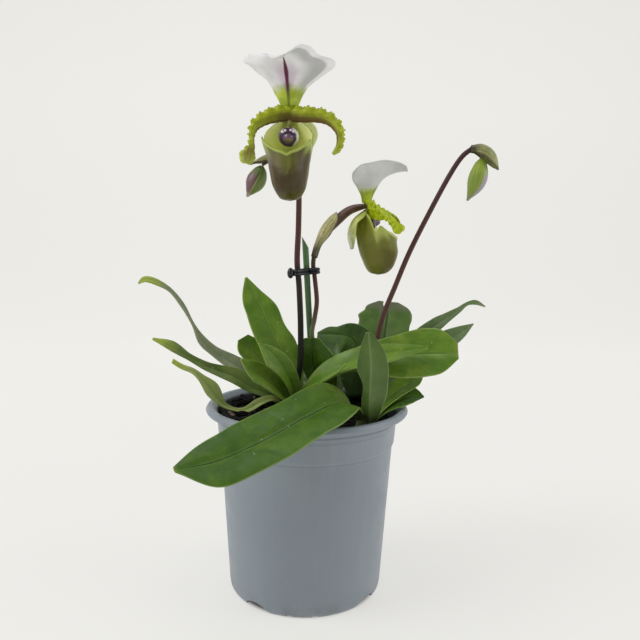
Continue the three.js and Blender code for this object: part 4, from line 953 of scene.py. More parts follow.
def strandStops(level):  # round the outside of the three stems, at one height
    stops = []
    for stem, *turns in clip["way"]:
        x, y = clip[stem]
        reach = clip["eye"] + (clip["wideEye"] if stem == "stalk" else 0)
        for turn in map(math.radians, turns):
            place = (x + reach * math.cos(turn), y + reach * math.sin(turn), level * clip["pitch"])
            stops.append(clipPoint(*place))
    return [*stops, stops[0]]


def makeClip():
    material, tree = newMaterial("clipPlastic", 0.38, coat_weight=0.08)
    colour = mixed(fade(grain(tree, 500, 4), 0.35, 0.7), rgb(9, 16, 20), rgb(18, 28, 33))
    dress(material, colour, grain(tree, 1800, 3), 0.06, 0.5)
    pieces = []
    for level in (-1, 1):
        pieces.append(rolled("stalkClip", strandStops(level), lambda t, angle: clip["strand"], 14, 90))
    start, end = [clipPoint(*clip[key], 0) for key in ("stalk", "knob")]
    neck = [start.lerp(end, f) for f in clip["neck"]]

    def neckRadius(t, angle):
        return clip["neckSize"] - clip["waist"] * math.sin(math.pi * t)

    pieces.append(rolled("neck", neck, neckRadius, 16, 10))
    pieces.append(ball("knob", 24, 16, radius=mm, scale=clip["knobSize"], location=end * mm))
    bpy.ops.object.transform_apply(location=True, rotation=True, scale=True)
    hand(joined(pieces), "clip", "clip", skin=material)


makeStalks()
makeCane()
makeClip()
print("stalks, cane and clip made")


# A flower is shaped about the top of its ovary, looking along -Y, then turned and placed.
evenHood = ((3.8, 2, 1.6), (6, 2.8, 6.4), (11.6, 5, 11.2), (19, 6.4, 15.4), (22, 4.6, 19.8),
            (19.6, -0.4, 23.4), (13, -9.6, 26.2), (7.4, -18.6, 26.4), (3, -24.8, 24.2))
evenPetal = ((0, 3.5), (0.12, 3.8), (0.3, 3.2), (0.5, 2.4), (0.65, 1.7), (0.8, 1.4), (0.92, 1.1), (1, 0.3))
spoonPetal = ((0, 3.5), (0.12, 3.8), (0.3, 3.1), (0.45, 2.2), (0.57, 1.4), (0.68, 1.05), (0.77, 1.8),
              (0.9, 3.8), (0.97, 2.9), (1, 1.2))
widePetal = ((0, 4.2), (0.12, 6.2), (0.35, 6.8), (0.55, 5.2), (0.7, 3.4), (0.8, 2.8), (0.9, 4), (0.97, 3.2),
             (1, 1.2))
facing = ((0, -1, 0), (0, -1, 0))
flowers = dict(
    main=dict(
        at=(-11.2, -34, 275), turn=(8, -2, -4), size=1.07, shield=(0, -7.6, -13),
        left=((4, 1.8, 1.6), (6.6, 3, 7), (11.4, 5.8, 14.4), (17.8, 7.4, 19.8), (22.6, 7, 23.6),
              (18.6, 1.4, 25.6), (11.6, -7, 25), (5.6, -17, 21.6), (1.2, -25.4, 21.3)),
        right=((4, 1.8, 1.6), (6.8, 3, 7.4), (11.6, 5.8, 13), (18, 7.6, 17), (22.2, 6, 21.6),
               (14.8, -1, 24.4), (10.6, -9, 27.2), (7.2, -17, 26.8), (1.2, -25.4, 21.9)),
        petal_left=dict(side=-1, half=spoonPetal, face=facing,
            spine=((1.2, -1.9, -1.6), (-4.4, -3, -2), (-10, -5, -3.4), (-14.4, -8, -5.9), (-16.5, -11, -8.9),
                   (-17, -14, -12.5), (-17.2, -15.5, -16.6), (-18.6, -17, -20.5), (-19.6, -18, -24.8))),
        petal_right=dict(side=1, half=evenPetal, face=facing,
            spine=((-1.2, -1.4, -1.6), (4.4, -3, -2.4), (14.2, -6, -3.3), (20.4, -9, -5.7),
                   (24.4, -12.5, -10.4), (25, -15, -15.2), (24, -16.5, -18.8), (21.6, -17.5, -21.2))),
    ),
    side=dict(
        at=(34.4, 21, 229.4), turn=(0, 0, 78), size=0.97, shield=(0, -6.2, -10),
        left=evenHood, right=evenHood,
        petal_left=dict(side=-1, half=widePetal, face=((0, -1, 0.2), (-0.5, -1, 0.3), (-0.9, -0.4, 0.2)),
            spine=((-0.5, -1.4, -1.6), (-7, -6, -2.8), (-12.4, -11.5, -4), (-16.2, -16.4, -7.2),
                   (-18, -20.4, -11.8), (-18.6, -24.4, -16.4))),
        petal_right=dict(side=1, half=evenPetal, face=((0, -1, 0.2), (0.5, -1, 0.3), (0.9, -0.4, 0.2)),
            spine=((0.5, -1.4, -0.6), (7, -5.2, -0.6), (12.4, -10.8, -2.2), (16.4, -15.8, -4.6),
                   (18, -19, -8), (17.6, -20.8, -12.6))),
    ),
)


def placed(flower, shape):  # the shape in the plant's own frame
    x, y, z = [Matrix.Rotation(math.radians(angle), 3, axis) for angle, axis in zip(flower["turn"], "XYZ")]
    turn = x @ y @ z
    return lambda v, t: Vector(flower["at"]) + turn @ (shape(v, t) * flower["size"])


# The dorsal sepal: a broad hood between its midrib and its two margins.
dorsal = dict(across=56, steps=64, thickness=0.7, keel=0.35, crimp=0.3, crimps=34, soft=0.35,
              midrib=((0, -2.4, 1.6), (0, -3.8, 6.4), (0, -6.6, 11.6), (0, -9.6, 15.6), (0, -13.4, 18.6),
                      (0, -17.6, 20.4), (0, -21.6, 21.2), (0, -25.6, 21.3)))


def dorsalShape(flower):
    kept = {}

    def shape(v, t):
        if t not in kept:
            lines = (dorsal["midrib"], flower["left"], flower["right"])
            kept[t] = [throughPoints(points, t) for points in lines]
        middle, left, right = kept[t]
        edge, reach = left if v < 0 else right, abs(v)
        faded = math.sin(math.pi * t)
        turn = dorsal["crimps"] * t + (0 if v < 0 else 2)
        crimp = dorsal["crimp"] * reach**4 * math.sin(turn) * faded
        soft = dorsal["soft"] * noise.noise(Vector((2.2 * v, 3.4 * t, flower["size"] * 9))) * faded
        keel = dorsal["keel"] * bump(v, 0, 0.05) * (1 - t)
        y = lerp(middle.y, edge.y, reach**1.5) - keel + soft
        return Vector((edge.x * v, y, lerp(middle.z, edge.z, reach**1.25) + crimp + soft))

    return shape


def dorsalMaterial(name, shade, stripe, strength, foot):
    material, tree = newMaterial(name, 0.5, soft=(0.25, 1.5), subsurface_radius=(1, 1, 1))
    across, edge, lengthways = useGroup(tree, bladePlace)
    cloud, veins = grain(tree, 130, 4), linesOn(tree, 5, 0.7, 10)
    # painted shade in grey on the right wing, beside its fold
    fold = times(fade(across, 0.2, 0.62), fade(across, 0.86, 0.76))
    shadow = times(fade(across, -0.12, -0.3), fade(across, -0.8, -0.5))
    flush = times(fade(edge, 0.36, 0.1), fade(lengthways, 0.8, 0.4))
    inner = times(veins, fade(lengthways, 0.55, 0.2), fade(edge, 0.5, 0.3))
    low = plus(lengthways, sway(grain(tree, 260, 3), 0.09), times(edge, 0.09))
    lime = mixed(fade(cloud, 0.4, 0.6), rgb(146, 164, 16), rgb(176, 190, 34))
    core = times(fade(edge, 0.16, 0.03), fade(lengthways, foot * 1.1, foot * 0.8))
    width = times(fade(lengthways, 0.98, 0.3, 0.02, 0.048), fade(lengthways, 0.1, 0.3, 0.5, 1))
    ends = times(fade(lengthways, 0.99, 0.93), fade(lengthways, 0.1, 0.22))
    line = times(fade(maths("DIVIDE", edge, width), 1.3, 0.55), ends)
    colour = layered(
        mixed(fade(cloud, 0.35, 0.7), rgb(*shade), rgb(*[c - 12 for c in shade])),
        (times(fold, 0.75 * strength), rgb(160, 160, 158)),
        (times(shadow, 0.3 * strength), rgb(192, 189, 194)),
        (times(flush, 0.6 * strength), rgb(196, 172, 196)),
        (times(inner, 0.16 * strength), rgb(176, 128, 168)),
        (fade(low, foot, foot * 0.62), lime),
        (times(core, 0.7 * strength), rgb(72, 88, 16)),
        (times(line, strength), stripe),
    )
    return dress(material, colour, plus(grain(tree, 1500, 3), times(veins, 0.4)), 0.08, 0.45)


lowerSepal = dict(across=30, steps=48, thickness=0.7, cup=4.6, pleat=0.25,
                  spine=((0, 0.5, -2.8), (0.2, 6, -7), (0.3, 9.8, -12.6), (0.4, 11, -19.6), (0.4, 9, -27.4)),
                  face=((0, -1, 0.5), (0, -1, 0.1), (0, -1, -0.3)),
                  half=((0, 4), (0.14, 10.6), (0.32, 13), (0.55, 12), (0.8, 8.2), (0.94, 4), (1, 1)))


def lowerSepalShape():
    form = lowerSepal

    def rise(t, v):
        cup = form["cup"] * v * v * math.sin(math.pi * clamp(0.75 * t + 0.15))
        return cup + form["pleat"] * math.cos(9 * math.pi * v) * (1 - v * v)

    return bladeShape(form["spine"], form["face"], lambda t, v: along(form["half"], t), rise=rise)


def lowerSepalMaterial(name, foot, tip):
    material, tree = newMaterial(name, 0.48, soft=(0.7, 4))
    lengthways, veins = useGroup(tree, bladePlace)["Along"], linesOn(tree, 5, 0.4, 6)
    colour = layered(
        mixed(fade(plus(lengthways, times(grain(tree, 150, 3), 0.2)), 0.35, 0.95), foot, tip),
        (times(veins, 0.2), rgb(190, 206, 120)),
    )
    return dress(material, colour, plus(veins, grain(tree, 1300, 3)), 0.14, 0.5)


# A petal, narrow and curved down, with its upper margin crisped in frills and fine teeth.
petal = dict(across=22, steps=190, thickness=0.7, arch=1.1, channel=0.3,
             frills=10.5, frillHeight=1.2, frillReach=0.6, lowerFrills=13, lowerHeight=0.3,
             teeth=34, toothHeight=0.45, toothReach=0.45)


def petalShape(side, spine, half, face):
    form = petal

    def ruffle(t, v, count, power):
        faded = math.sin(math.pi * clamp(0.86 * t + 0.1))
        return max(0, -side * v) ** power * faded * math.sin(2 * math.pi * count * t)

    def reach(t, v):
        frill = form["frillReach"] * ruffle(t, v, form["frills"], 2)
        return along(half, t) + frill + form["toothReach"] * ruffle(t, v, form["teeth"], 8)

    def rise(t, v):
        frill = form["frillHeight"] * ruffle(t, v, form["frills"], 2)
        tooth = form["toothHeight"] * ruffle(t, v, form["teeth"] - 7, 5)
        low = form["lowerHeight"] * max(0, side * v) ** 3 * math.sin(2 * math.pi * form["lowerFrills"] * t)
        return frill + tooth + low - form["arch"] * v * v - form["channel"] * bump(v, 0, 0.12)

    return bladeShape(spine, face, reach, rise=rise)


def petalMaterial(name, side, lime, bright, stain):
    material, tree = newMaterial(name, 0.42, soft=(0.2, 1.2), specular_ior_level=0.3)
    across, edge, lengthways = useGroup(tree, bladePlace)
    upper = times(across, -side)  # 1 on the frilled margin
    low = plus(upper, times(grain(tree, 420, 3), 0.3))
    start, end = (-0.4, -0.8) if side < 0 else (0.05, -0.5)
    olive = times(fade(lengthways, 0.5, 0.1), fade(upper, 0.4, -0.3))
    band = times(fade(low, start, end), fade(lengthways, 0.9, 0.65))
    middle = times(fade(lengthways, 0.2, 0.04), fade(upper, 0.5, -0.5))
    spoon = times(fade(edge, 0.85, 0.3), fade(lengthways, 0.62, 0.78), fade(lengthways, 1.0, 0.9))
    spoonStain = 0.75 * stain if side < 0 else 0  # the left petal's spoon is brown in its middle
    veins = linesOn(tree, 3, 0.4, 5)
    colour = layered(
        mixed(fade(grain(tree, 240, 4), 0.35, 0.65), lime, bright),
        (fade(upper, 0.1, 0.9, 0, 0.8), bright),
        (times(olive, 0.7 * stain), rgb(102, 100, 18)),
        (times(band, 0.85 * stain), rgb(104, 70, 40)),
        (times(middle, 0.85 * stain), rgb(92, 70, 24)),
        (times(spoon, spoonStain), rgb(116, 92, 48)),
        (fade(lengthways, 0.74, 0.96, 0, 0.5 * stain), rgb(188, 196, 104)),
        (times(dotsOn(tree, 1100, 0.26, 0.3), 0.25 * stain), rgb(98, 70, 40)),
        (times(veins, 0.2), rgb(112, 126, 16)),
    )
    return dress(material, colour, plus(grain(tree, 1500, 3), veins), 0.14, 0.55)


# The slipper: a deep bag with two ears beside its notched front lip. An ear has its reach, its
# place in degrees from the front and its breadth, and the right one drops. The profiles run from
# the bottom up, and `claw` is how much narrower it is behind.
slipper = dict(across=96, steps=60, wall=0.8, fold=1.3, lip=0.55, vein=0.05, uneven=0.35,
    leftEar=(2.6, 62, 21), rightEar=(-1.1, 58, 15), rightDrop=(1.5, 62, 14),
    rim=((0, -20.6), (12, -19.4), (32, -18), (50, -15.2), (62, -12.8), (73, -13.8), (86, -17.6), (93, -12.6),
         (101, -8), (112, -5.6), (130, -4.6), (180, -3.4)),
    depth=((-43.4, 0), (-42.4, 4.6), (-40, 7.6), (-36, 10), (-29, 12.2), (-22, 12.6), (-16, 12.4),
           (-11, 11.2), (-5, 7.2), (-2, 5.2)),
    width=((-43.4, 0), (-42.4, 4.2), (-40, 6.4), (-36, 8.2), (-29, 9.5), (-22, 10.7), (-16, 12), (-11, 12.6),
           (-5, 9), (-2, 6)),
    centre=((-43.4, 8.6), (-36, 9.2), (-29, 8.4), (-22, 7.4), (-16, 6.6), (-11, 6), (-5, 4.4), (-2, 3)),
    claw=((-26, 0), (-20, 0.16), (-14, 0.38), (-8, 0.5), (-2, 0.6)))


def slipperShape(v, s):
    form, angle, level = slipper, math.pi * v, s**1.5
    degrees = abs(math.degrees(angle))
    z = lerp(form["depth"][0][0], along(form["rim"], degrees), level)
    narrow = 1 - along(form["claw"], z) * smooth(degrees, 84, 125)
    folded = form["fold"] * smooth(level, 0.8, 1) * bump(degrees, 66, 15)
    lip = form["lip"] * smooth(level, 0.93, 1) * smooth(degrees, 62, 40)
    vein = form["vein"] * math.cos(16 * angle) * smooth(level, 0.1, 0.4) * smooth(level, 1, 0.8)
    uneven = form["uneven"] * noise.noise(Vector((2 * math.cos(angle), 2 * math.sin(angle), 4 * level)))
    size, *where = form["leftEar" if v < 0 else "rightEar"]
    flare = size * bump(degrees, *where) * smooth(level, 0.72, 1)
    if v > 0:
        size, *where = form["rightDrop"]
        z -= size * bump(degrees, *where) * smooth(level, 0.7, 1)
    change = 0 if s == 0 else lip - folded + (vein + uneven) * smooth(level, 0, 0.15)
    wide = max(0, along(form["width"], z) * narrow + change)
    deep = max(0, along(form["depth"], z) + change)
    return Vector((wide * math.sin(angle) - flare, -along(form["centre"], z) - deep * math.cos(angle), z))


def slipperMaterial(name, olive, brown, blush, green, foot, rimColour, ear):
    material, tree = newMaterial(name, 0.36, soft=(0.08, 1), coat_weight=0.04, specular_ior_level=0.3)
    across, edge, level = useGroup(tree, bladePlace)
    cloud, rays = grain(tree, 90, 5, distortion=0.8), linesOn(tree, 9, 1.6, 2)
    net = grain(tree, 420, 5, distortion=1.2)
    high = plus(level, sway(cloud, 0.35))
    flank = times(fade(across, 0.0, -0.12), fade(high, 0.62, 0.78))
    throat = times(fade(edge, 0.26, 0.02), fade(high, 0.66, 0.86))
    tips = times(fade(edge, 0.2, 0.32), fade(edge, 0.55, 0.45), fade(level, 0.78, 0.95))
    colour = layered(
        mixed(fade(cloud, 0.35, 0.65), olive, brown),
        (fade(high, 0.85, 0.62, 0, 0.7), brown),
        (times(flank, 0.75), blush),
        (times(throat, fade(rays, 0, 0.8, 0.55, 0.85)), green),
        (fade(high, 0.42, 0.2, 0, 0.85), foot),
        (fade(edge, 0.3, 0.55, 0, 0.6), green),
        (times(rays, 0.04), blush),
        (fade(net, 0.55, 0.68, 0, 0.25), brown),
        (times(tips, ear), rimColour),
        (fade(level, 0.955, 0.985), rimColour),
    )
    return dress(material, colour, plus(grain(tree, 900, 4), times(rays, 0.2)), 0.12, 0.4)


def pouchInside():
    material, tree = newMaterial("pouchInside", 0.4, soft=(0.6, 4))
    level = useGroup(tree, bladePlace)["Along"]
    colour = layered(
        mixed(fade(level, 0.45, 0.8), rgb(150, 154, 66), rgb(232, 240, 160)),
        (times(dotsOn(tree, 700, 0.3, 0.3), 0.2), rgb(112, 70, 60)),
    )
    return dress(material, colour, grain(tree, 1100, 3), 0.12, 0.4)


# The column: a short stalk with a domed shield in front, and four glossy lumps on its top, whose
# white is painted highlight.
column = dict(wide=4.95, tall=4.75, thick=2, lean=14, stalk=(1.4, 1.7), lumpsOut=1.45, lumpThick=0.9,
              spine=((0, -1, -1.7), (0, -0.4, -5.2), (0, -2.6, -8.6)),
              lumps=((-2.6, 2.8, 0.85, 0.7), (-1.3, 3.4, 0.6, 0.65), (1.3, 3.5, 0.65, 0.6),
                     (2.5, 2.9, 0.75, 0.7)))


def shieldMaterial(name, disc, ring, cap, margin):
    material, tree = newMaterial(name, 0.2, soft=(0.1, 1), coat_weight=0.4)
    x, z = [sway(part, 2) for part in list(pointParts(tree, "UV"))[:2]]

    def oval(cx, cz, wide, tall):  # 1 on an oval's line and less inside it
        out = apart(maths("DIVIDE", minus(x, cx), wide), maths("DIVIDE", minus(z, cz), tall))
        return plus(out, sway(grain(tree, 900, 3), 0.25))

    colour = layered(
        mixed(fade(oval(0, 0, 1, 1), 0.8, 0.92), ring, margin),
        (times(fade(oval(-0.16, 0.04, 1, 1), 0.86, 1.0), fade(x, 0.2, 0.6)), rgb(232, 226, 232)),
        (fade(oval(-0.05, -0.12, 0.56, 0.58), 1.1, 0.85), disc),
        (fade(oval(0, 0.78, 0.42, 0.3), 1.1, 0.8), cap),
        (fade(oval(0, -0.24, 0.34, 0.3), 1.1, 0.5), rgb(158, 148, 112)),
    )
    return dress(material, colour, grain(tree, 1300, 3), 0.1, 0.4)


def lumpHighlightMaterial():
    # the lumps' white is painted highlight on their gloss
    material, tree = newMaterial("columnWhite", 0.18, soft=(0.2, 1), coat_weight=0.4)
    return dress(material, mixed(fade(grain(tree, 900, 3), 0.4, 0.7), rgb(240, 236, 240), rgb(206, 186, 208)))


def columnStalkMaterial():
    material, tree = newMaterial("columnStalk", 0.4)
    colour = mixed(fade(grain(tree, 500, 4), 0.4, 0.6), rgb(150, 156, 74), rgb(112, 104, 48))
    return dress(material, colour, grain(tree, 1200, 3), 0.1, 0.4)


def makeColumn(name, flower, skin, highlightSkin, green):
    c, at = column, Vector(flower["shield"])
    lean = Matrix.Rotation(math.radians(c["lean"]), 3, "X")
    seat = placed(flower, lambda point, _: point)  # a point instead of a place on a grid
    shield = ball(name, 56, 40, radius=1, rotation=(math.pi / 2, 0, 0))
    bpy.ops.object.transform_apply(rotation=True)
    layer = shield.data.uv_layers.active.data
    for loop in shield.data.loops:
        x, _, z = shield.data.vertices[loop.vertex_index].co
        layer[loop.index].uv = (x / 2 + 0.5, z / 2 + 0.5)
    for vertex in shield.data.vertices:
        x, y, z = vertex.co
        out = math.hypot(x, z)
        dome = 1 + 0.6 * bump(out, 0, 0.35) - 0.3 * bump(out, 0.6, 0.2) if y < 0 else 1
        notch = 1 - 0.1 * bump(x, 0, 0.25) * smooth(z, 0.5, 0.7)
        form = Vector((x * c["wide"], y * c["thick"] * dome, z * c["tall"] * notch))
        vertex.co = seat(at + lean @ form, 0) * mm
    pieces, materials = [shield], [skin]
    for x, z, wide, tall in c["lumps"]:
        lump = ball("lump", 16, 10, radius=1)
        for vertex in lump.data.vertices:
            p, q, r = vertex.co
            form = Vector((x + p * wide, q * c["lumpThick"] - c["lumpsOut"], z + r * tall))
            vertex.co = seat(at + lean @ form, 0) * mm
        pieces.append(lump)
        materials.append(highlightSkin)

    def radius(t, angle):
        return lerp(*c["stalk"], t) * flower["size"]

    spine = [seat(Vector(p), 0) for p in (*c["spine"], at + Vector((0, 1, 0.6)))]
    pieces.append(rolled("columnStalk", spine, radius, 20, 24))
    for piece, material in zip(pieces, [*materials, green]):
        piece.data.materials.append(material)
    return joined(pieces)


# The colours of a flower's parts, in the order in which their materials take them.
flowerLooks = dict(
    main=dict(
        dorsal=((233, 232, 232), rgb(96, 26, 64), 1.0, 0.31),
        lower=(rgb(244, 250, 190), rgb(232, 242, 170)),
        petal=(rgb(152, 162, 10), rgb(180, 192, 40), 1.0),
        slipper=(rgb(90, 80, 36), rgb(66, 50, 18), rgb(118, 108, 86), rgb(122, 128, 56), rgb(84, 82, 28),
                 rgb(172, 188, 88), 0.85),
        shield=(rgb(118, 84, 114), rgb(50, 30, 66), rgb(70, 36, 66), rgb(124, 96, 130))),
    side=dict(
        dorsal=((213, 214, 213), rgb(160, 110, 150), 0.12, 0.34),
        lower=(rgb(214, 228, 120), rgb(232, 240, 190)),
        petal=(rgb(176, 194, 8), rgb(202, 218, 34), 0.12),
        slipper=(rgb(122, 120, 40), rgb(98, 92, 28), rgb(128, 132, 54), rgb(130, 136, 48), rgb(104, 102, 40),
                 rgb(196, 206, 108), 0.95),
        shield=(rgb(84, 50, 88), rgb(48, 28, 62), rgb(60, 32, 60), rgb(150, 124, 156))),
)


def makeSlipper(name, flower, outside, inside):
    pouch = shapedGrid(name, placed(flower, slipperShape), slipper["across"], slipper["steps"])
    weld(pouch)
    pouch.data.materials.append(outside)
    pouch.data.materials.append(inside)
    modify(pouch, "SOLIDIFY", thickness=slipper["wall"] * mm * flower["size"], offset=-1, material_offset=1)
    return pouch


def makeFlowers():
    inside, lumps, columnStalk = pouchInside(), lumpHighlightMaterial(), columnStalkMaterial()
    for tag, flower in flowers.items():
        look, end = flowerLooks[tag], tag.title()
        hood = dorsalMaterial("dorsal" + end, *look["dorsal"])
        lower = lowerSepalMaterial("lowerSepal" + end, *look["lower"])
        blades = [("dorsal_sepal", dorsal, dorsalShape(flower), hood),
                  ("lower_sepal", lowerSepal, lowerSepalShape(), lower)]
        for name in ("petal_left", "petal_right"):
            skin = petalMaterial(camel(name) + end, flower[name]["side"], *look["petal"])
            blades.append((name, petal, petalShape(**flower[name]), skin))
        for name, form, shape, skin in blades:
            piece = blade(camel(name) + end, placed(flower, shape), form, skin)
            hand(piece, "petal" if form is petal else name, f"{name}_{tag}")
        outside = slipperMaterial("slipper" + end, *look["slipper"])
        hand(makeSlipper("slipper" + end, flower, outside, inside), "slipper", "slipper_" + tag)
        shield = shieldMaterial("shield" + end, *look["shield"])
        hand(makeColumn("column" + end, flower, shield, lumps, columnStalk), "column", "column_" + tag)


makeFlowers()
print("flowers made")


ovaries = dict(
    ovary_main=dict(flower="main", thin=1.5, wide=2.4,
        spine=((-7.3, -15.4, 252.8), (-6.6, -14.6, 260), (-7.2, -17, 268.4), (-8.8, -24, 274),
               (-11.2, -34, 275))),
    ovary_side=dict(flower="side", thin=1.3, wide=3.1,
        spine=((6.5, 6.5, 207.2), (11, 9.6, 213.6), (17, 13, 220.4), (24.5, 17, 226.4), (34.4, 21, 229.4))),
    ovary_bud_main=dict(thin=1.1, wide=1.5,
        spine=((-9.2, -15.1, 250.6), (-15, -16, 252.2), (-21, -17.6, 251.8), (-26.2, -19.3, 247.9))),
    ovary_bud_top=dict(thin=1.3, wide=1.6,
        spine=((96.5, 8, 263.4), (99.8, 8, 262.4), (101.5, 8, 260), (101.2, 8, 257.4))),
)
knobRadius = 2  # the sepals and petals of a flower grow from a small knob on the ovary's end


def ovaryMaterial(name, dark, light):
    material, tree = newMaterial(name, 0.5, sheen_weight=0.1)
    ribs = linesOn(tree, 3, 0.2, 2)
    colour = layered(
        mixed(fade(grain(tree, 260, 4), 0.35, 0.65), dark, light),
        (times(ribs, 0.5), rgb(112, 84, 58)),
    )
    return dress(material, colour, plus(grain(tree, 2000, 3), ribs), 0.2, 0.6)


def makeOvaries():
    purple = ovaryMaterial("ovaryPurple", rgb(70, 40, 44), rgb(92, 58, 50))
    olive = ovaryMaterial("ovaryOlive", rgb(84, 78, 44), rgb(112, 110, 64))
    for name, ovary in ovaries.items():
        thin, wide = ovary["thin"], ovary["wide"]
        outline = ((0, thin), (0.4, wide), (0.75, 0.86 * wide), (1, 0.5 * wide))

        def radius(t, angle):
            ribs = 0.04 * (1 - math.cos(6 * angle)) + 0.03 * (1 - math.cos(3 * angle))
            return along(outline, t) * (1 - ribs)

        pieces = [rolled(camel(name), ovary["spine"], radius, 48, 48)]
        if "flower" in ovary:
            flower = flowers[ovary["flower"]]
            place = Vector(flower["at"]) * mm
            pieces.append(ball("knob", 24, 16, radius=knobRadius * flower["size"] * mm, location=place))
            bpy.ops.object.transform_apply(location=True)
        hand(joined(pieces), "stalk", name, skin=purple if "flower" in ovary else olive)


# A bract wraps the stalk it guards: an open sheath about an axis, `reach` from it and `wrap`
# degrees to either side of its back, narrowing to a point.
bractForm = dict(across=28, steps=36, thickness=0.6)
bracts = dict(
    bract_main=dict(
        back=(-0.3, 0, 1),
        axis=((-10.8, -15.6, 250.8), (-17, -16.4, 251.8), (-24, -18.4, 249.6), (-31, -20.4, 245.4)),
        reach=((0, 2.6), (0.4, 3.6), (0.8, 3.6), (1, 3)), wrap=((0, 124), (0.4, 116), (0.75, 74), (1, 8))),
    bract_side=dict(
        back=(-1, -0.1, 0.7),
        axis=((3, 2.8, 198), (5.4, 5.4, 205.4), (9.8, 8.9, 212.2), (14.6, 11.7, 217.8), (19, 13.8, 221.4)),
        reach=((0, 1.55), (0.28, 2.1), (0.5, 3.9), (0.8, 4.6), (1, 4.4)),
        wrap=((0, 164), (0.4, 138), (0.6, 116), (0.82, 84), (1, 8))),
    bract_top=dict(
        back=(0.2, 0, 1), axis=((94.2, 8, 262.2), (99.4, 8, 261.4), (103.6, 8, 257.4), (107, 8, 249)),
        reach=((0, 2.2), (0.15, 2.7), (0.35, 4.2), (0.7, 5.6), (1, 4.4)),
        wrap=((0, 130), (0.3, 118), (0.7, 96), (0.9, 56), (1, 8))),
)
bractLooks = dict(
    bract_main=dict(olive=rgb(146, 146, 84), brown=rgb(70, 50, 34), stained=0.55),
    bract_side=dict(olive=rgb(190, 186, 126), brown=rgb(92, 72, 46), stained=0.4),
    bract_top=dict(olive=rgb(164, 170, 104), brown=rgb(84, 70, 44), stained=0.35),
)


def bractMaterial(name, olive, brown, stained):
    material, tree = newMaterial(name, 0.5, soft=(0.1, 1), sheen_weight=0.15)
    _, edge, lengthways = useGroup(tree, bladePlace)
    stripes = linesOn(tree, 4, 0.9, 3)
    cloud = fade(grain(tree, 260, 4, distortion=0.8), 0.42, 0.64)
    colour = layered(
        mixed(times(cloud, 0.35), olive, brown),
        (times(stripes, stained), brown),
        (fade(edge, 0.86, 0.97, 0, 0.8), brown),
        (fade(lengthways, 0.85, 1.0, 0, 0.8), brown),
        (fade(lengthways, 0.4, 0.08, 0, 0.92), rgb(64, 56, 33)),
    )
    return dress(material, colour, plus(grain(tree, 1500, 3), stripes), 0.16, 0.6)


def bractShape(back, axis, reach, wrap):
    def shape(v, t):
        way = curveWay(axis, t)
        side = way.cross(Vector(back)).normalized()
        angle = math.radians(along(wrap, t) * v)
        out = along(reach, t) + 0.15 * math.cos(12 * v) * (1 - t)
        step = side.cross(way) * math.cos(angle) + side * math.sin(angle)
        return curvePoint(axis, t) + step * out

    return shape


def makeBracts():
    for name, bract in bracts.items():
        material = bractMaterial(camel(name), **bractLooks[name])
        hand(blade(camel(name), bractShape(**bract), bractForm, material), "bract", name)


# A closed bud: three sepals meet along seams, and it ends in a beak.
budOutline = ((0, 0.12), (0.12, 0.32), (0.38, 0.5), (0.6, 0.46), (0.82, 0.24), (0.93, 0.11), (1, 0.06))
buds = dict(
    bud_main=dict(
        width=10.4,
        spine=((-26.4, -19.4, 247.4), (-28.3, -20, 242), (-31, -20.6, 236.6), (-34.4, -21, 230.8)),
        look=dict(seam=-8, ahead=rgb(112, 82, 88), behind=rgb(112, 130, 60), foot=rgb(92, 116, 50),
                  tip=rgb(176, 160, 150))),
    bud_top=dict(
        width=11,
        spine=((101.1, 8, 256.9), (99.6, 8, 248.4), (97.2, 8, 240.4), (93.4, 8, 232.6)),
        look=dict(seam=150, ahead=rgb(160, 152, 164), behind=rgb(138, 160, 58), foot=rgb(152, 176, 60),
                  tip=rgb(150, 152, 124))),
)


def budMaterial(name, seam, ahead, behind, foot, tip):
    material, tree = newMaterial(name, 0.42, soft=(0.1, 1))
    across, _, lengthways = useGroup(tree, bladePlace)
    turn = maths("WRAP", minus(across, seam / 180), 1)
    turn.node.inputs[2].default_value = -1
    veins = linesOn(tree, 8, 0.5, 3)
    colour = layered(
        mixed(fade(plus(turn, sway(grain(tree, 300, 3), 0.12)), -0.03, 0.03), behind, ahead),
        (fade(maths("ABSOLUTE", turn), 0.035, 0.0, 0, 0.6), rgb(186, 186, 140)),
        (times(veins, 0.2), rgb(84, 74, 44)),
        (fade(lengthways, 0.45, 0.22, 0, 0.85), foot),
        (fade(lengthways, 0.82, 0.96), tip),
    )
    return dress(material, colour, plus(grain(tree, 1500, 3), veins), 0.14, 0.5)


def makeBuds():
    for name, bud in buds.items():
        def radius(t, angle):
            turn = angle - math.radians(bud["look"]["seam"])
            seams = 0.05 * (1 - math.cos(3 * turn)) + 0.1 * bump(math.sin(1.5 * turn), 0, 0.12)
            faded = math.sin(math.pi * clamp(t, 0.1, 0.95))
            return bud["width"] * along(budOutline, t) * (1.04 - seams * faded)

        piece = rolled(camel(name), bud["spine"], radius, 72, 56)
        hand(piece, "bud", name, skin=budMaterial(camel(name), **bud["look"]))


makeOvaries()
makeBracts()
makeBuds()
print("ovaries, bracts and buds made")


# `dark` spans the painted contact shadow inside the pot's foot
backdrop = dict(half=2600, front=-1400, length=3600, flat=900, curve=900, radius=570,
                glow=0.835, near=rgb(220, 219, 215), far=rgb(231, 230, 226), dark=(5.5, 0.3))
lights = dict(  # each with its place, size and power
    keyLight=((-850, -250, 850), 700, 7),
    fillLight=((850, -100, 450), 700, 3),
    topLight=((50, 150, 1200), 600, 2.4),
)
air = dict(aim=(0, 0, 130), colour=(1, 0.995, 0.98, 1), strength=0.3)
view = dict(lens=37.35, place=(0, -390, 205.5), pitch=0.1135, yaw=0.0178, roll=0.015)


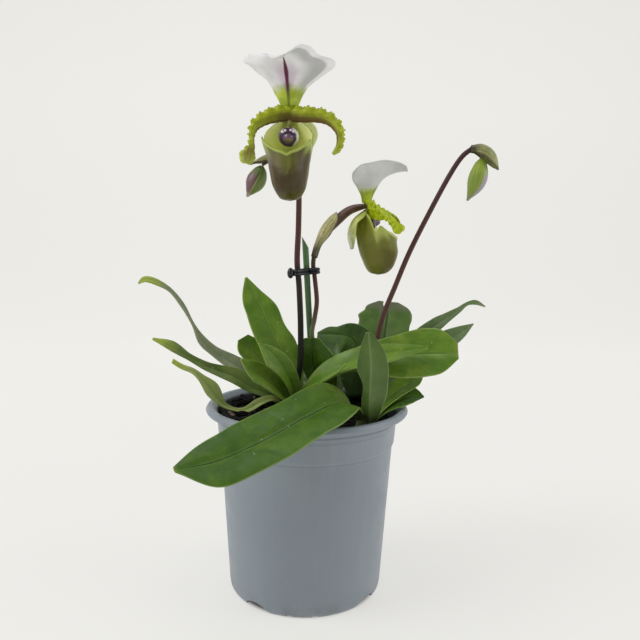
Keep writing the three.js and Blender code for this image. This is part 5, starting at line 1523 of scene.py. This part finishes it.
def makeFloor():
    def sweep(v, t):  # a sheet of paper that lies flat and then curves up behind
        length = backdrop["length"] * t + backdrop["front"]
        bend = clamp((length - backdrop["flat"]) / backdrop["curve"]) * math.pi / 2
        back = min(length, backdrop["flat"]) + backdrop["radius"] * math.sin(bend)
        up = backdrop["radius"] * (1 - math.cos(bend)) + max(0, length - backdrop["flat"] - backdrop["curve"])
        return Vector((backdrop["half"] * v, back, up))

    paper = shapedGrid("paperSweep", sweep, 8, 60)
    material, tree = newMaterial("paper", 0.9, emission_strength=backdrop["glow"])
    x, y, _ = pointParts(tree)
    inner, outer = [(pot["baseRadius"] - gap) * mm for gap in backdrop["dark"]]
    under = fade(apart(x, y), inner, outer, 0.03)  # painted contact shadow: the paper doesn't glow under the pot
    glow = mixed(under, rgb(0, 0, 0), mixed(fade(y, 0, 1), backdrop["near"], backdrop["far"]))
    dress(material, mixed(grain(tree, 3, 2), rgb(142, 142, 140), rgb(138, 138, 136)), emission_color=glow)
    paper.data.materials.append(material)
    alone(paper)
    bpy.ops.object.shade_smooth()


def makeLight(name, place, size, power):
    bpy.ops.object.light_add(type="AREA", location=Vector(place) * mm)
    light = bpy.context.object
    light.name = name
    light.data.energy = power
    light.data.size = size * mm
    way = Vector(air["aim"]) - Vector(place)
    light.rotation_euler = way.to_track_quat("-Z", "Y").to_euler()


def makeStudio():
    makeFloor()
    for name, light in lights.items():
        makeLight(name, *light)
    world = bpy.data.worlds.new("studioAir")
    world.use_nodes = True
    inputs = world.node_tree.nodes["Background"].inputs
    inputs["Color"].default_value = air["colour"]
    inputs["Strength"].default_value = air["strength"]
    bpy.context.scene.world = world
    bpy.context.scene.view_settings.view_transform = "Standard"


def makeCamera():
    pitch, yaw, roll = view["pitch"], view["yaw"], view["roll"]
    forward = Vector((math.sin(yaw) * math.cos(pitch), math.cos(yaw) * math.cos(pitch), -math.sin(pitch)))
    level = Vector((math.cos(yaw), -math.sin(yaw), 0))
    above = level.cross(forward)
    right = level * math.cos(roll) + above * math.sin(roll)
    up = above * math.cos(roll) - level * math.sin(roll)
    bpy.ops.object.camera_add(location=Vector(view["place"]) * mm)
    camera = bpy.context.object
    camera.rotation_euler = Matrix((right, up, -forward)).transposed().to_euler()
    camera.data.lens = view["lens"]
    camera.data.clip_start = 0.01
    bpy.context.scene.camera = camera


makeStudio()
makeCamera()
print("floor, light and camera made")
